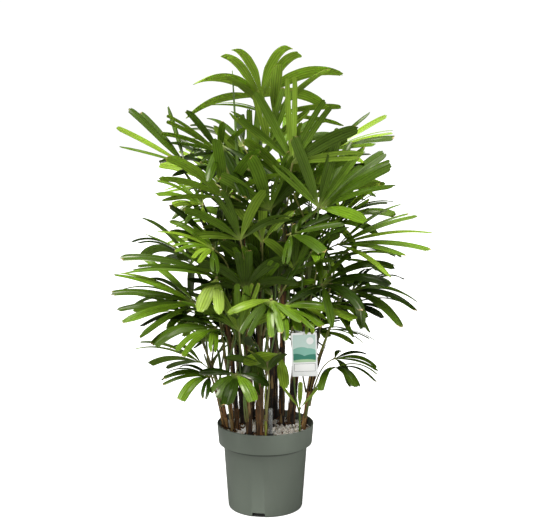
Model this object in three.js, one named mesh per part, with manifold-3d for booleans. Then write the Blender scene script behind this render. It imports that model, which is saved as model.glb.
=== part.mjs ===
// A lady palm in a nursery pot: a clump of canes with fan fronds, a root ball topped with gravel,
// a hang label and a water gauge. Millimetres, +Z up. The origin is the centre of the pot's
// flat underside, and -Y is the front of the plant.

import * as THREE from 'three';
import { mergeVertices } from 'three/addons/utils/BufferGeometryUtils.js';
import Module from 'manifold-3d';

const wasm = await Module();
wasm.setup();

// Pot
const potHeight = 240;
const rimRadius = 135;
const collarFootRadius = 130.5;
const collarFootHeight = 184;
const wallTopRadius = 117;
const wallFootRadius = 104.5;
const footRingInner = 97;
const padRadius = 60;
const channelInner = 64;
const channelOuter = 94;
const channelHeight = 13;
const potWall = 3;
const wallSlope = 5;
const edgeRound = 2;
const drainHoles = 6;
const drainRadius = 6;
const notches = 3;
const notchWidth = 38;
const notchHeight = 12;
const notchDepth = 14;
const notchTaper = 2;
const notchTurn = -100.5;
const potSegments = 32;
const innerFoot = wallFootRadius - potWall;
const innerTop = wallTopRadius - potWall;
const ledgeHeight = collarFootHeight + potWall;
const floorTop = channelHeight + potWall;
const collarInner = collarFootRadius - potWall;
const rimInner = rimRadius - potWall - 0.5;

// Root ball and gravel
const potGap = 0.4;
const rootBallTop = 210;
const gravelFoot = 210.3;
const gravelTop = 217;

// Gaps between neighbours
const touchGap = 0.3;
const leafClearance = 0.3;

// Canes: foot and tip stand in the clump's own plan, radius is that of the sheathed foot
const caneTaper = 0.72;
const caneBow = 0.25;
const caneSides = 8;
const caneShares = [0, 1 / 3, 2 / 3, 1];
const caneEndFrom = 0.96;
const tipSides = 6;
const tipShoulder = 45;
const tipShoulderShare = 0.8;
const spearFrom = 0.8;
const spearRadius = 2.6;
const spearPoint = 1;
const canes = {
  a: { foot: [-116, 12], radius: 4, tip: [-150, 45, 350], spear: 80 },
  b: { foot: [-105, -8], radius: 4.5, tip: [-160, -30, 440], spear: 90 },
  c: { foot: [-90, -32], radius: 4.5, tip: [-115, -90, 500], spear: 100 },
  d: { foot: [-78, -4], radius: 6, tip: [-120, -20, 640], spear: 110 },
  e: { foot: [-62, 40], radius: 8, tip: [-115, 80, 740], spear: 120 },
  f: { foot: [-44, -62], radius: 8.5, tip: [-66, -60, 820], spear: 385 },
  g: { foot: [-16, -60], radius: 10, tip: [-15, -30, 930], spear: 130 },
  h: { foot: [-40, 92], radius: 8, tip: [-60, 150, 560], spear: 100 },
  j: { foot: [28, 95], radius: 8, tip: [20, 150, 780], spear: 120 },
  k: { foot: [46, 40], radius: 8, tip: [55, 62, 900], spear: 120 },
  l: { foot: [72, 42], radius: 10.5, tip: [125, -30, 720], spear: 110 },
  m: { foot: [1, -92], radius: 4, tip: [2, -118, 390], spear: 80 },
  n: { foot: [104, -2], radius: 5, tip: [178, -40, 520], spear: 100 },
  o: { foot: [110, 36], radius: 5, tip: [180, 74, 600], spear: 100 },
  p: { foot: [72, 92], radius: 6, tip: [92, 150, 390], spear: 90 },
  s: { foot: [12, 16], radius: 8, tip: [28, -48, 640], spear: 110 },
};

// Fan fronds
const petioleFootRadius = 3.2;
const petioleTipRadius = 1.9;
const petioleShares = [0, 0.34, 0.68, 0.93];
const petioleTestShares = [0, 0.34, 0.68, 0.93, 0.98];
const petioleSpread = 0.32;
const petioleLeave = 0.4;
const petioleArrive = 0.3;
const petioleUnder = 0.08;
const headFootRise = 12;
const headFootStep = 8;
const hubRadius = 7;
const hubTop = 3.4;
const hubUnder = 2.4;
const crestHeight = 3.2;
const hubGuard = 32;
const hubGuardTop = 9.5;
const hubGuardSides = 8;
const rootWidth = 2.8;
const rootCrest = 2.72;
const bendPower = 1.4;
const steps = 24;
const rootStep = 3;
const sectionSteps = [8, 16, 24];
const rowSectionSteps = [12, 24];
const fanEdgeLength = 0.78;
const fanEdgeTurn = 0.8;
const fanEdgeWidth = 0.7;
const cupLeast = 6;
const leafletVary = { length: 0.2, width: 0.3, angle: 0.24, bend: 0.6, twist: 50, cup: 10 };
const widthStops = [[0, 0.12], [0.15, 0.5], [0.35, 0.9], [0.6, 1], [0.85, 0.86], [1, 0.52]];

// Tries for a leaflet that would touch something: a turn in the fan, and how far it bends over
const leafletTries = [[0, 1], [4, 1.3], [-4, 0.7], [0, 1.8], [7, 0.4], [-7, 2.2]];
// Tries for a petiole: its foot's turn about the cane, and how far the hub is lifted
const petioleTries = [
  [0, 0], [30, 0], [-30, 0], [60, 0], [-60, 0], [0, 16], [0, -16], [45, 30], [-45, -30], [90, 40],
];

// Fronds that give the front and both sides their outline. Each row holds the cane, the height
// of the petiole's foot on it (0 where it springs from the growing tip), the hub's place, the
// way the fan points (azimuth, rise, roll), then leaflet length, width, spread, count and bend.
const outlineFronds = [
  ['g', 0, [-11, -20, 1138], [274, 47, 4], 236, 50, 165, 6, 0.9],
  ['k', 0, [22, 20, 1104], [292, 32, -12], 215, 30, 165, 6, 0.5],
  ['l', 0, [69, -170, 967], [290, 62, -35], 200, 38, 130, 6, 0.3],
  ['f', 0, [-35, -60, 952], [265, 75, 0], 165, 36, 84, 3, 0.15],
  ['e', 0, [-124, 0, 990], [212, 26, 16], 178, 28, 160, 7, 0.3],
  ['f', 0, [-215, -20, 959], [168, 33, -24], 212, 26, 78, 5, 0.15],
  ['d', 0, [-166, -60, 852], [198, 24, -30], 135, 20, 165, 8, 0.5],
  ['c', 0, [-122, -100, 663], [172, 16, -7], 266, 40, 76, 5, 0.45],
  ['f', 560, [-64, -170, 771], [236, 60, 24], 160, 34, 130, 5, 0.7],
  ['b', 0, [-187, -80, 591], [188, 7, -28], 240, 32, 98, 7, 0.42],
  ['b', 330, [-205, -35, 520], [190, 2, -14], 150, 32, 110, 5, 0.5],
  ['f', 350, [-67, -180, 533], [270, 70, 0], 145, 34, 100, 5, 0.15],
  ['c', 350, [-131, -140, 534], [202, 4, -16], 170, 38, 135, 5, 0.9],
  ['b', 290, [-174, -80, 428], [184, 20, 30], 180, 32, 112, 5, 0.75],
  ['c', 262, [-147, -140, 404], [200, 4, -12], 145, 32, 140, 5, 1.05],
  ['f', 270, [-76, -180, 420], [262, -30, 0], 104, 42, 165, 5, 1],
  ['m', 0, [38, -158, 468], [200, -52, -68], 94, 42, 84, 2, 0.2],
  ['n', 290, [191, -20, 425], [3, 2, 8], 130, 26, 152, 5, 0.95],
  ['n', 256, [184, -90, 416], [290, 8, 5], 137, 26, 170, 5, 1],
  ['n', 0, [205, 30, 590], [30, 8, 0], 160, 26, 140, 5, 0.8],
  ['n', 0, [230, -100, 628], [350, 3, 22], 198, 38, 145, 6, 1.05],
  ['o', 0, [192, -90, 750], [345, 6, 24], 240, 34, 95, 6, 0.42],
  ['l', 470, [147, -150, 651], [352, 23, 24], 210, 34, 165, 6, 0.8],
  ['l', 0, [142, -120, 849], [346, 27, 34], 246, 44, 105, 5, 0.3],
  ['l', 0, [124, -60, 870], [290, 66, -20], 200, 32, 125, 6, 0.25],
  ['k', 0, [177, 40, 995], [348, 10, 24], 180, 27, 100, 6, 0.25],
  ['m', 0, [45, -190, 600], [335, -4, 30], 140, 38, 120, 4, 0.5],
  ['g', 500, [15, -200, 605], [252, -45, -12], 125, 38, 130, 4, 0.7],
  ['m', 0, [72, -172, 606], [300, -30, 0], 105, 34, 110, 4, 0.9],
  ['g', 620, [-8, -140, 760], [262, 78, 10], 130, 30, 60, 3, 0.2],
  ['s', 0, [136, -175, 854], [275, 76, 16], 190, 32, 78, 4, 0.25],
  ['f', 450, [-52, -180, 645], [262, 56, 10], 150, 38, 150, 5, 0.9],
  ['f', 480, [-135, -150, 745], [206, 18, -25], 140, 34, 150, 6, 0.6],
  ['l', 540, [118, -170, 738], [322, 36, 28], 190, 32, 160, 6, 0.6],
  ['f', 660, [-104, -130, 876], [240, 44, 22], 195, 32, 140, 6, 0.45],
  ['k', 700, [70, -90, 905], [300, 52, -22], 195, 32, 165, 6, 0.4],
  ['m', 0, [-32, -120, 519], [262, -76, 0], 124, 46, 26, 2, 0.2],
  ['o', 470, [178, -70, 790], [330, 40, 28], 190, 32, 160, 6, 0.5],
  ['l', 430, [120, -130, 582], [310, -4, 12], 150, 28, 150, 5, 0.8],
];

// The young frond of a sucker, which comes straight up through the gravel
const suckerFoot = [94, -72, gravelTop + touchGap];
const suckerFrond = [null, 0, [93, -80, 300], [270, 65, 0], 84, 13, 70, 3, 0.1];

// Rows of fronds that fill the crown behind and inside the outline: the hubs' height and reach
// from the middle of the clump, the azimuths between which they stand, and the fans' rise
const crownRows = [
  { height: 990, reach: 80, from: 40, to: 140, count: 2, rise: 34, length: 165, bend: 0.8 },
  { height: 935, reach: 130, from: 20, to: 150, count: 4, rise: 30, length: 195, bend: 0.7 },
  { height: 880, reach: 180, from: 25, to: 136, count: 4, rise: 30, length: 210, bend: 0.7 },
  { height: 780, reach: 200, from: 10, to: 118, count: 4, rise: 24, length: 215, bend: 0.8 },
  { height: 680, reach: 220, from: 25, to: 155, count: 4, rise: 18, length: 220, bend: 0.9 },
  { height: 575, reach: 225, from: 5, to: 150, count: 4, rise: 12, length: 205, bend: 1 },
  { height: 470, reach: 190, from: 40, to: 150, count: 4, rise: 6, length: 185, bend: 1 },
  { height: 800, reach: 80, from: 190, to: 350, count: 3, rise: 50, length: 185, bend: 0.5 },
  { height: 650, reach: 90, from: 200, to: 340, count: 2, rise: 42, length: 180, bend: 0.6 },
];
const crownCentre = [0, 15];
const rowWidth = 30;
const rowSpread = 175;
const rowLeaflets = 7;
const rowVary = { azimuth: 14, reach: 0.2, height: 40, aim: 20, rise: 14, roll: 80 };
const headRise = 160;
const headLeastRise = 60;
const headLevelWeight = 0.6;
const headLoad = 40;

// Fronds that fill the middle of the front, in the same order as those of the outline
const frontFronds = [
  ['f', 0, [-116, -110, 1015], [300, -50, 0], 190, 40, 80, 3, 0.3],
  ['s', 0, [10, -150, 845], [250, 52, 30], 170, 36, 130, 5, 0.5],
  ['g', 0, [10, -110, 1010], [275, 66, 0], 150, 32, 90, 4, 0.2],
  ['l', 0, [66, -180, 788], [335, 6, 24], 165, 34, 150, 5, 0.4],
  ['d', 0, [-126, -165, 672], [255, -50, 0], 105, 48, 40, 2, 0.9],
];

// Label and water gauge
const labelWidth = 70;
const labelHeight = 122;
const labelThickness = 1.6;
const labelCorner = 3;
const labelCentre = [107, -40, 441];
const labelTilt = 2;
const labelView = { width: 56, depth: 260, height: 116, lift: 18 };
const strapWidth = 10;
const strapThickness = 1.6;
const strapLoop = 15;
const strapRise = 2;
const gaugePlace = [14, -62];
const gaugeRadius = 6.5;
const gaugeTop = 296;
const gaugeFootHeight = 7;
const gaugeWall = 1.2;
const gaugeFlange = 1;
const gaugeShoulder = 2;
const gaugeSides = 12;
const needleRadius = 1.6;
const needleShort = 14;

// The seeded generator's numbers
const streamModulus = 2147483647;
const streamSeed = 48271;
const streamOffset = 11;
const streamStep = 16807;
const crownStreams = 1000;

const material = (colour, roughness) =>
  new THREE.MeshStandardMaterial({ color: colour, roughness, metalness: 0 });
const potMaterial = material(0x5c6b61, 0.6);
const soilMaterial = material(0x3b2d22, 0.95);
const gravelMaterial = material(0xb9ada0, 0.9);
const sheathMaterial = material(0x6b4f35, 0.85);
const leafMaterial = material(0x35601c, 0.45);
const cardMaterial = material(0xdfe8e2, 0.5);
const clearMaterial = material(0xd8dde0, 0.15);
const blackMaterial = material(0x151515, 0.5);

const vec = (...numbers) => new THREE.Vector3(...numbers);
const radians = THREE.MathUtils.degToRad;
const lerp = THREE.MathUtils.lerp;

// A triangle mesh that is put together from rings of points
class Shell {
  constructor() {
    this.points = [];
    this.faces = [];
  }

  ring(points) {
    const first = this.points.length;
    this.points.push(...points);
    return points.map((_, i) => first + i);
  }

  loft(from, to) {
    from.forEach((corner, i) => {
      const next = (i + 1) % from.length;
      this.quad(corner, from[next], to[next], to[i]);
    });
  }

  // Two triangles on the diagonal that stands out, so that a thin twisted strap stays clear of itself
  quad(a, b, c, d) {
    const [first, second, third, fourth] = [a, b, c, d].map((corner) => this.points[corner]);
    const normal = second.clone().sub(first).cross(third.clone().sub(first));
    if (normal.dot(fourth.clone().sub(first)) < 0) {
      this.faces.push([a, b, c], [a, c, d]);
    } else {
      this.faces.push([a, b, d], [b, c, d]);
    }
  }

  cap(ring, atStart) {
    for (let i = 1; i < ring.length - 1; i += 1) {
      this.faces.push(atStart ? [ring[0], ring[i + 1], ring[i]] : [ring[0], ring[i], ring[i + 1]]);
    }
  }

  geometry() {
    const geometry = new THREE.BufferGeometry();
    const numbers = this.points.flatMap((point) => point.toArray());
    geometry.setAttribute('position', new THREE.Float32BufferAttribute(numbers, 3));
    geometry.setIndex(this.faces.flat());
    return geometry;
  }
}

// A tube through rings of points, closed at both ends
function tube(rings) {
  const shell = new Shell();
  const loops = rings.map((points) => shell.ring(points));
  for (let i = 1; i < loops.length; i += 1) {
    shell.loft(loops[i - 1], loops[i]);
  }
  shell.cap(loops[0], true);
  shell.cap(loops.at(-1), false);
  return shell.geometry();
}

function solidOf(geometry) {
  const bare = geometry.clone();
  bare.deleteAttribute('normal');
  bare.deleteAttribute('uv');
  const merged = mergeVertices(bare, 1e-4);
  return new wasm.Manifold(new wasm.Mesh({
    numProp: 3,
    vertProperties: merged.attributes.position.array,
    triVerts: new Uint32Array(merged.index.array),
  }));
}

function geometryOf(solid) {
  const mesh = solid.getMesh();
  const geometry = new THREE.BufferGeometry();
  geometry.setAttribute('position', new THREE.Float32BufferAttribute(mesh.vertProperties, 3));
  geometry.setIndex(new THREE.Uint32BufferAttribute(mesh.triVerts, 1));
  return geometry;
}

const model = new THREE.Group();

function addNode(name, geometry, look) {
  const mesh = new THREE.Mesh(geometry, look);
  mesh.name = name;
  geometry.computeVertexNormals();
  model.add(mesh);
}

// Bodies that later leaflets and petioles keep clear of
const obstacles = [];

function bodyOf(geometry, owner, kind) {
  geometry.computeBoundingBox();
  return { box: geometry.boundingBox, solid: solidOf(geometry), owner, kind };
}

function clashes(body, isOwn) {
  return obstacles.some((other) => {
    if (isOwn(other) || !other.box.intersectsBox(body.box)) {
      return false;
    }
    const shared = other.solid.intersect(body.solid);
    const touching = !shared.isEmpty();
    shared.delete();
    return touching;
  });
}

// Park and Miller's generator: every product stays a whole number in double precision
function stream(index) {
  let state = (index * streamSeed + streamOffset) % streamModulus;
  const draw = () => {
    state = (state * streamStep) % streamModulus;
    return state / streamModulus;
  };
  draw();
  draw();
  return draw;
}

// ---- Pot, root ball and gravel ----

function lathe(profile, segments) {
  const geometry = new THREE.LatheGeometry(profile.map(([r, z]) => new THREE.Vector2(r, z)), segments);
  return geometry.rotateX(Math.PI / 2);
}

// The inner radius of the collar, which opens out from the ledge to the rim
function collarAt(height) {
  return lerp(collarInner, rimInner, (height - ledgeHeight) / (potHeight - ledgeHeight));
}

function pot() {
  let solid = solidOf(lathe([
    [0, 0], [padRadius, 0], [channelInner, channelHeight], [channelOuter, channelHeight],
    [footRingInner, 0], [wallFootRadius - edgeRound, 0], [wallFootRadius, wallSlope],
    [wallTopRadius, collarFootHeight], [collarFootRadius, collarFootHeight],
    [rimRadius, potHeight - edgeRound], [rimRadius - edgeRound / 2, potHeight], [rimInner, potHeight],
    [collarInner, ledgeHeight], [innerTop, ledgeHeight], [innerFoot, floorTop],
    [padRadius, floorTop], [padRadius - potWall, potWall], [0, potWall],
  ], potSegments));
  for (let i = 0; i < drainHoles; i += 1) {
    const hole = new THREE.CylinderGeometry(drainRadius, drainRadius, 3 * potWall, 10);
    hole.rotateX(Math.PI / 2).translate((channelInner + channelOuter) / 2, 0, floorTop - potWall / 2);
    hole.rotateZ(radians(notchTurn + 30 + (360 / drainHoles) * i));
    solid = solid.subtract(solidOf(hole));
  }
  for (let i = 0; i < notches; i += 1) {
    const outline = new THREE.Shape();
    outline.moveTo(-notchWidth / 2, -1);
    outline.lineTo(notchWidth / 2, -1);
    outline.lineTo(notchWidth / 2 - notchTaper, notchHeight);
    outline.lineTo(notchTaper - notchWidth / 2, notchHeight);
    const notch = new THREE.ExtrudeGeometry(outline, { depth: notchDepth, bevelEnabled: false });
    notch.rotateX(Math.PI / 2).rotateZ(Math.PI / 2).translate(channelOuter - 1, 0, 0);
    notch.rotateZ(radians(notchTurn + (360 / notches) * i));
    solid = solid.subtract(solidOf(notch));
  }
  return geometryOf(solid);
}

function rootBall() {
  return lathe([
    [0, potWall + potGap], [padRadius - potWall - potGap, potWall + potGap],
    [padRadius - potGap, floorTop + potGap], [innerFoot - potGap, floorTop + potGap],
    [innerTop - potGap, ledgeHeight + potGap], [collarInner - potGap, ledgeHeight + potGap],
    [collarAt(rootBallTop) - potGap, rootBallTop], [0, rootBallTop],
  ], potSegments);
}

function gravel() {
  let solid = solidOf(lathe([
    [0, gravelFoot], [collarAt(gravelFoot) - potGap, gravelFoot],
    [collarAt(gravelTop) - potGap, gravelTop], [0, gravelTop],
  ], potSegments));
  for (const cane of Object.values(canes)) {
    solid = solid.subtract(solidOf(caneGeometry(cane, potGap)));
  }
  return geometryOf(solid);
}

// ---- Canes ----

// The cane's axis: it leaves the root ball steeply and leans out more towards its tip
function caneAxis(cane, t) {
  const lean = 2 * caneBow * t * (1 - t) + t * t;
  return vec(
    lerp(cane.foot[0], cane.tip[0], lean),
    lerp(cane.foot[1], cane.tip[1], lean),
    lerp(gravelFoot, cane.tip[2], t),
  );
}

const caneShare = (cane, height) => (height - gravelFoot) / (cane.tip[2] - gravelFoot);
const caneRadius = (cane, t) => cane.radius * lerp(1, caneTaper, t);

function circle(centre, radius, sides) {
  return Array.from({ length: sides }, (_, i) => {
    const turn = (2 * Math.PI * i) / sides;
    return vec(radius * Math.cos(turn), radius * Math.sin(turn), 0).add(centre);
  });
}

function caneGeometry(cane, extra) {
  return tube(caneShares.map((t) => {
    const centre = caneAxis(cane, t);
    centre.z += extra * (t === 0 ? -1 : 1);
    return circle(centre, caneRadius(cane, t) + extra, caneSides);
  }));
}

const caneEnd = (cane) => caneAxis(cane, 1).sub(caneAxis(cane, caneEndFrom)).normalize();

// The growing tip above the cane, which narrows to a folded spear leaf
function tipGeometry(cane, extra) {
  const axis = caneEnd(cane);
  const top = caneAxis(cane, 1);
  const radius = caneRadius(cane, 1);
  const places = [
    [touchGap, radius], [tipShoulder, tipShoulderShare * radius],
    [spearFrom * cane.spear, spearRadius], [cane.spear, spearPoint],
  ];
  return tube(places.map(([rise, size], i) => {
    const centre = top.clone().addScaledVector(axis, rise);
    centre.z += i === 0 ? top.z + touchGap - centre.z : 0;
    return circle(centre, size + extra, tipSides);
  }));
}

// ---- Fan fronds ----

// The fan's own directions: forward along the middle leaflet, side across the fan, up off its face
function fanFrame(frond) {
  const [azimuth, rise, roll] = frond.aim.map(radians);
  const forward = vec(Math.cos(azimuth), Math.sin(azimuth), Math.tan(rise)).normalize();
  const level = vec(Math.sin(azimuth), -Math.cos(azimuth), 0);
  const side = level.applyAxisAngle(forward, roll);
  return { forward, side, up: side.clone().cross(forward) };
}

function inFan(frame, angle) {
  return frame.forward.clone().multiplyScalar(Math.cos(angle)).addScaledVector(frame.side, Math.sin(angle));
}

// The leaflets of a fan: the middle ones are the longest, the outer ones narrow
function leafletsOf(frond) {
  const draw = stream(frond.index);
  const pitch = frond.spread / (frond.count - 1);
  return Array.from({ length: frond.count }, (_, i) => {
    const angle = i * pitch - frond.spread / 2;
    const edge = Math.abs(angle) / (frond.spread / 2);
    const middling = lerp(fanEdgeLength, 1, Math.cos(radians(fanEdgeTurn * angle)));
    return {
      nominal: angle,
      length: frond.length * middling * (1 + leafletVary.length * (draw() - 0.5)),
      width: frond.width * lerp(1, fanEdgeWidth, edge) * (1 + leafletVary.width * (draw() - 0.5)),
      angle: angle + pitch * leafletVary.angle * (draw() - 0.5),
      bend: frond.bend * (1 + leafletVary.bend * (draw() - 0.5)),
      twist: leafletVary.twist * (draw() - 0.5),
      cup: cupLeast + leafletVary.cup * draw(),
    };
  });
}

// A leaflet's centreline: it leaves the hub straight and bends over under its own weight
function centreline(frame, hub, leaflet, [turn, droop]) {
  const angle = radians(leaflet.angle + turn);
  const flat = inFan(frame, angle);
  const cup = radians(leaflet.cup);
  const start = flat.clone().multiplyScalar(Math.cos(cup)).addScaledVector(frame.up, Math.sin(cup));
  const across = inFan(frame, angle + Math.PI / 2);
  const stations = [];
  const point = hub.clone().addScaledVector(flat, hubRadius);
  for (let k = 0; k <= steps; k += 1) {
    const fall = leaflet.bend * droop * (k / steps) ** bendPower;
    const along = start.clone().add(vec(0, 0, -fall)).normalize();
    if (k > 0) {
      point.addScaledVector(along, leaflet.length / steps);
    }
    const side = across.clone().addScaledVector(along, -across.dot(along)).normalize();
    side.applyAxisAngle(along, radians(leaflet.twist) * (k / steps));
    stations.push({ point: point.clone(), side, over: side.clone().cross(along) });
  }
  return stations;
}

function leafWidth(share) {
  const upper = widthStops.findIndex(([at]) => at >= share);
  const [fromAt, fromWidth] = widthStops[Math.max(upper - 1, 0)];
  const [toAt, toWidth] = widthStops[upper];
  return toAt === fromAt ? toWidth : lerp(fromWidth, toWidth, (share - fromAt) / (toAt - fromAt));
}

// The section of a leaflet: left edge, crest and right edge, swollen by extra for clearance tests
function section(station, width, extra) {
  const base = station.point.clone().addScaledVector(station.over, -extra);
  return [
    base.clone().addScaledVector(station.side, -width / 2 - 2 * extra),
    base.clone().addScaledVector(station.over, crestHeight + 3 * extra),
    base.clone().addScaledVector(station.side, width / 2 + 2 * extra),
  ];
}

function leafletBody(frond, leaflet, stations) {
  const [first] = frond.sections;
  const share = rootStep / first;
  const root = { ...stations[first], point: stations[0].point.clone().lerp(stations[first].point, share) };
  const width = lerp(rootWidth, leaflet.width * leafWidth(first / steps), share);
  const rings = [section(root, width, leafClearance)];
  for (const k of frond.sections) {
    rings.push(section(stations[k], leaflet.width * leafWidth(k / steps), leafClearance));
  }
  return bodyOf(tube(rings), frond.head, 'leaflet');
}

// The petiole's curve, from its foot on the cane to the back of the hub
function petioleCurve(frond, hub, turn) {
  const foot = vec(...suckerFoot);
  let outward = vec(0, 0, 0);
  if (frond.cane) {
    const cane = canes[frond.cane];
    const t = frond.footHeight ? caneShare(cane, frond.footHeight) : 1;
    const axis = caneAxis(cane, t);
    outward = vec(hub.x - axis.x, hub.y - axis.y, 0).normalize();
    outward.applyAxisAngle(vec(0, 0, 1), radians(turn));
    if (frond.footHeight) {
      foot.copy(axis).addScaledVector(outward, caneRadius(cane, t) + petioleFootRadius + 2 * touchGap);
    } else {
      foot.copy(axis).addScaledVector(caneEnd(cane), headFootRise + (frond.index % 3) * headFootStep);
    }
  }
  const reach = hub.distanceTo(foot);
  const leave = outward.clone().multiplyScalar(petioleSpread).add(vec(0, 0, 1)).normalize();
  const arrive = frond.frame.forward.clone().multiplyScalar(-petioleArrive * reach);
  arrive.addScaledVector(frond.frame.up, -petioleUnder * reach);
  return new THREE.CubicBezierCurve3(
    foot,
    foot.clone().addScaledVector(leave, petioleLeave * reach),
    hub.clone().add(arrive),
    hub,
  );
}

// Four-sided rings along the petiole, carried back from the fan's own side direction
function petioleRings(curve, frame, extra, shares) {
  let side = frame.side.clone();
  const rings = [...shares].reverse().map((t) => {
    const along = curve.getTangent(t);
    side = side.clone().addScaledVector(along, -side.dot(along)).normalize();
    const over = side.clone().cross(along);
    const radius = lerp(petioleFootRadius, petioleTipRadius, t) + extra;
    const centre = curve.getPoint(t);
    return [[over, 1], [side, 1], [over, -1], [side, -1]].map(([way, sign]) =>
      centre.clone().addScaledVector(way, sign * radius));
  });
  return rings.reverse();
}

// A flat body round the hub, which other leaflets and petioles keep clear of
function hubBody(frond, hub) {
  const edge = (height) => Array.from({ length: hubGuardSides }, (_, i) =>
    hub.clone().add(inFan(frond.frame, (-2 * Math.PI * i) / hubGuardSides).multiplyScalar(hubGuard))
      .addScaledVector(frond.frame.up, height));
  return bodyOf(tube([edge(-hubUnder - leafClearance), edge(hubGuardTop)]), frond.head, 'hub');
}

// A frond stands in the first try that leaves its petiole and hub clear of everything else
function placeFrond(frond) {
  frond.frame = fanFrame(frond);
  const isOwn = (other) => other.owner === frond.head && other.kind !== 'leaflet';
  return petioleTries.some(([turn, lift]) => {
    const hub = vec(...frond.hub);
    hub.z += lift;
    const curve = petioleCurve(frond, hub, turn);
    const rings = petioleRings(curve, frond.frame, 2 * leafClearance, petioleTestShares);
    const bodies = [bodyOf(tube(rings), frond.head, 'petiole'), hubBody(frond, hub)];
    if (bodies.some((body) => clashes(body, isOwn))) {
      return false;
    }
    obstacles.push(...bodies);
    Object.assign(frond, { curve, place: hub });
    return true;
  });
}

// A leaflet stays in the fan in the first try that leaves it clear of everything else
function placeLeaflets(frond) {
  const hub = frond.place;
  const isOwnHub = (other) => other.owner === frond.head && other.kind === 'hub'
    && other.box.containsPoint(hub);
  frond.leaflets = leafletsOf(frond);
  for (const leaflet of frond.leaflets) {
    for (const attempt of leafletTries) {
      const stations = centreline(frond.frame, hub, leaflet, attempt);
      const body = leafletBody(frond, leaflet, stations);
      if (!clashes(body, isOwnHub)) {
        obstacles.push(body);
        leaflet.stations = stations;
        break;
      }
    }
  }
}

// One closed mesh: petiole, hub plate and the leaflets, which share the points of the hub's rim
function frondGeometry(frond) {
  const shell = new Shell();
  const { frame, leaflets, place: hub } = frond;
  const pitch = frond.spread / (frond.count - 1);
  const rimPoint = (angle) => hub.clone().addScaledVector(inFan(frame, radians(angle)), hubRadius);
  const [top] = shell.ring([hub.clone().addScaledVector(frame.up, hubTop)]);
  const [under] = shell.ring([hub.clone().addScaledVector(frame.up, -hubUnder)]);
  const rim = shell.ring([
    ...leaflets.map((leaflet) => rimPoint(leaflet.nominal - pitch / 2)),
    rimPoint(leaflets.at(-1).nominal + pitch / 2),
  ]);
  leaflets.forEach((leaflet, i) => {
    const crest = rimPoint(leaflet.nominal).addScaledVector(frame.up, rootCrest);
    const root = [rim[i], ...shell.ring([crest]), rim[i + 1]];
    shell.faces.push([top, root[1], root[0]], [top, root[2], root[1]], [under, root[0], root[2]]);
    let last = root;
    for (const k of leaflet.stations ? frond.sections : []) {
      const width = leaflet.width * leafWidth(k / steps);
      const next = shell.ring(section(leaflet.stations[k], width, 0));
      shell.loft(last, next);
      last = next;
    }
    shell.cap(last, false);
  });
  const rings = petioleRings(frond.curve, frame, 0, petioleShares).map((points) => shell.ring(points));
  rings.push([top, rim.at(-1), under, rim[0]]);
  for (let i = 1; i < rings.length; i += 1) {
    shell.loft(rings[i - 1], rings[i]);
  }
  shell.cap(rings[0], true);
  return shell.geometry();
}

function frondOf([cane, footHeight, hub, aim, length, width, spread, count, bend], i) {
  const sections = i < outlineFronds.length ? sectionSteps : rowSectionSteps;
  return { cane, footHeight, hub, aim, length, width, spread, count, bend, sections, index: i + 1 };
}

// The head that a hub in the crown's rows hangs on: the nearest tip well below it, with few fronds
function nearestHead(hub, fronds) {
  let best = null;
  let bestCost = Infinity;
  for (const [name, { tip }] of Object.entries(canes)) {
    const load = fronds.filter((frond) => frond.cane === name && !frond.footHeight).length;
    const level = Math.abs(hub[2] - tip[2] - headRise);
    const cost = Math.hypot(hub[0] - tip[0], hub[1] - tip[1]) + headLevelWeight * level + headLoad * load;
    if (hub[2] > tip[2] + headLeastRise && cost < bestCost) {
      best = name;
      bestCost = cost;
    }
  }
  return best;
}

function crownFronds(fronds) {
  for (const row of crownRows) {
    for (let i = 0; i < row.count; i += 1) {
      const index = fronds.length + 1;
      const draw = stream(crownStreams + index);
      const vary = (span) => span * (draw() - 0.5);
      const azimuth = lerp(row.from, row.to, i / (row.count - 1)) + vary(rowVary.azimuth);
      const reach = row.reach * (1 + vary(rowVary.reach));
      const hub = [
        crownCentre[0] + reach * Math.cos(radians(azimuth)),
        crownCentre[1] + reach * Math.sin(radians(azimuth)),
        row.height + vary(rowVary.height),
      ];
      const aim = [azimuth + vary(rowVary.aim), row.rise + vary(rowVary.rise), vary(rowVary.roll)];
      const shape = [row.length, rowWidth, rowSpread, rowLeaflets, row.bend];
      fronds.push(frondOf([nearestHead(hub, fronds), 0, hub, aim, ...shape], index - 1));
    }
  }
}

// ---- Label and gauge ----

function roundedCard(width, height, corner, outline) {
  const x = width / 2;
  const y = height / 2;
  outline.moveTo(-x + corner, -y);
  outline.lineTo(x - corner, -y);
  outline.quadraticCurveTo(x, -y, x, -y + corner);
  outline.lineTo(x, y - corner);
  outline.quadraticCurveTo(x, y, x - corner, y);
  outline.lineTo(-x + corner, y);
  outline.quadraticCurveTo(-x, y, -x, y - corner);
  outline.lineTo(-x, -y + corner);
  outline.quadraticCurveTo(-x, -y, -x + corner, -y);
  return outline;
}

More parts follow.
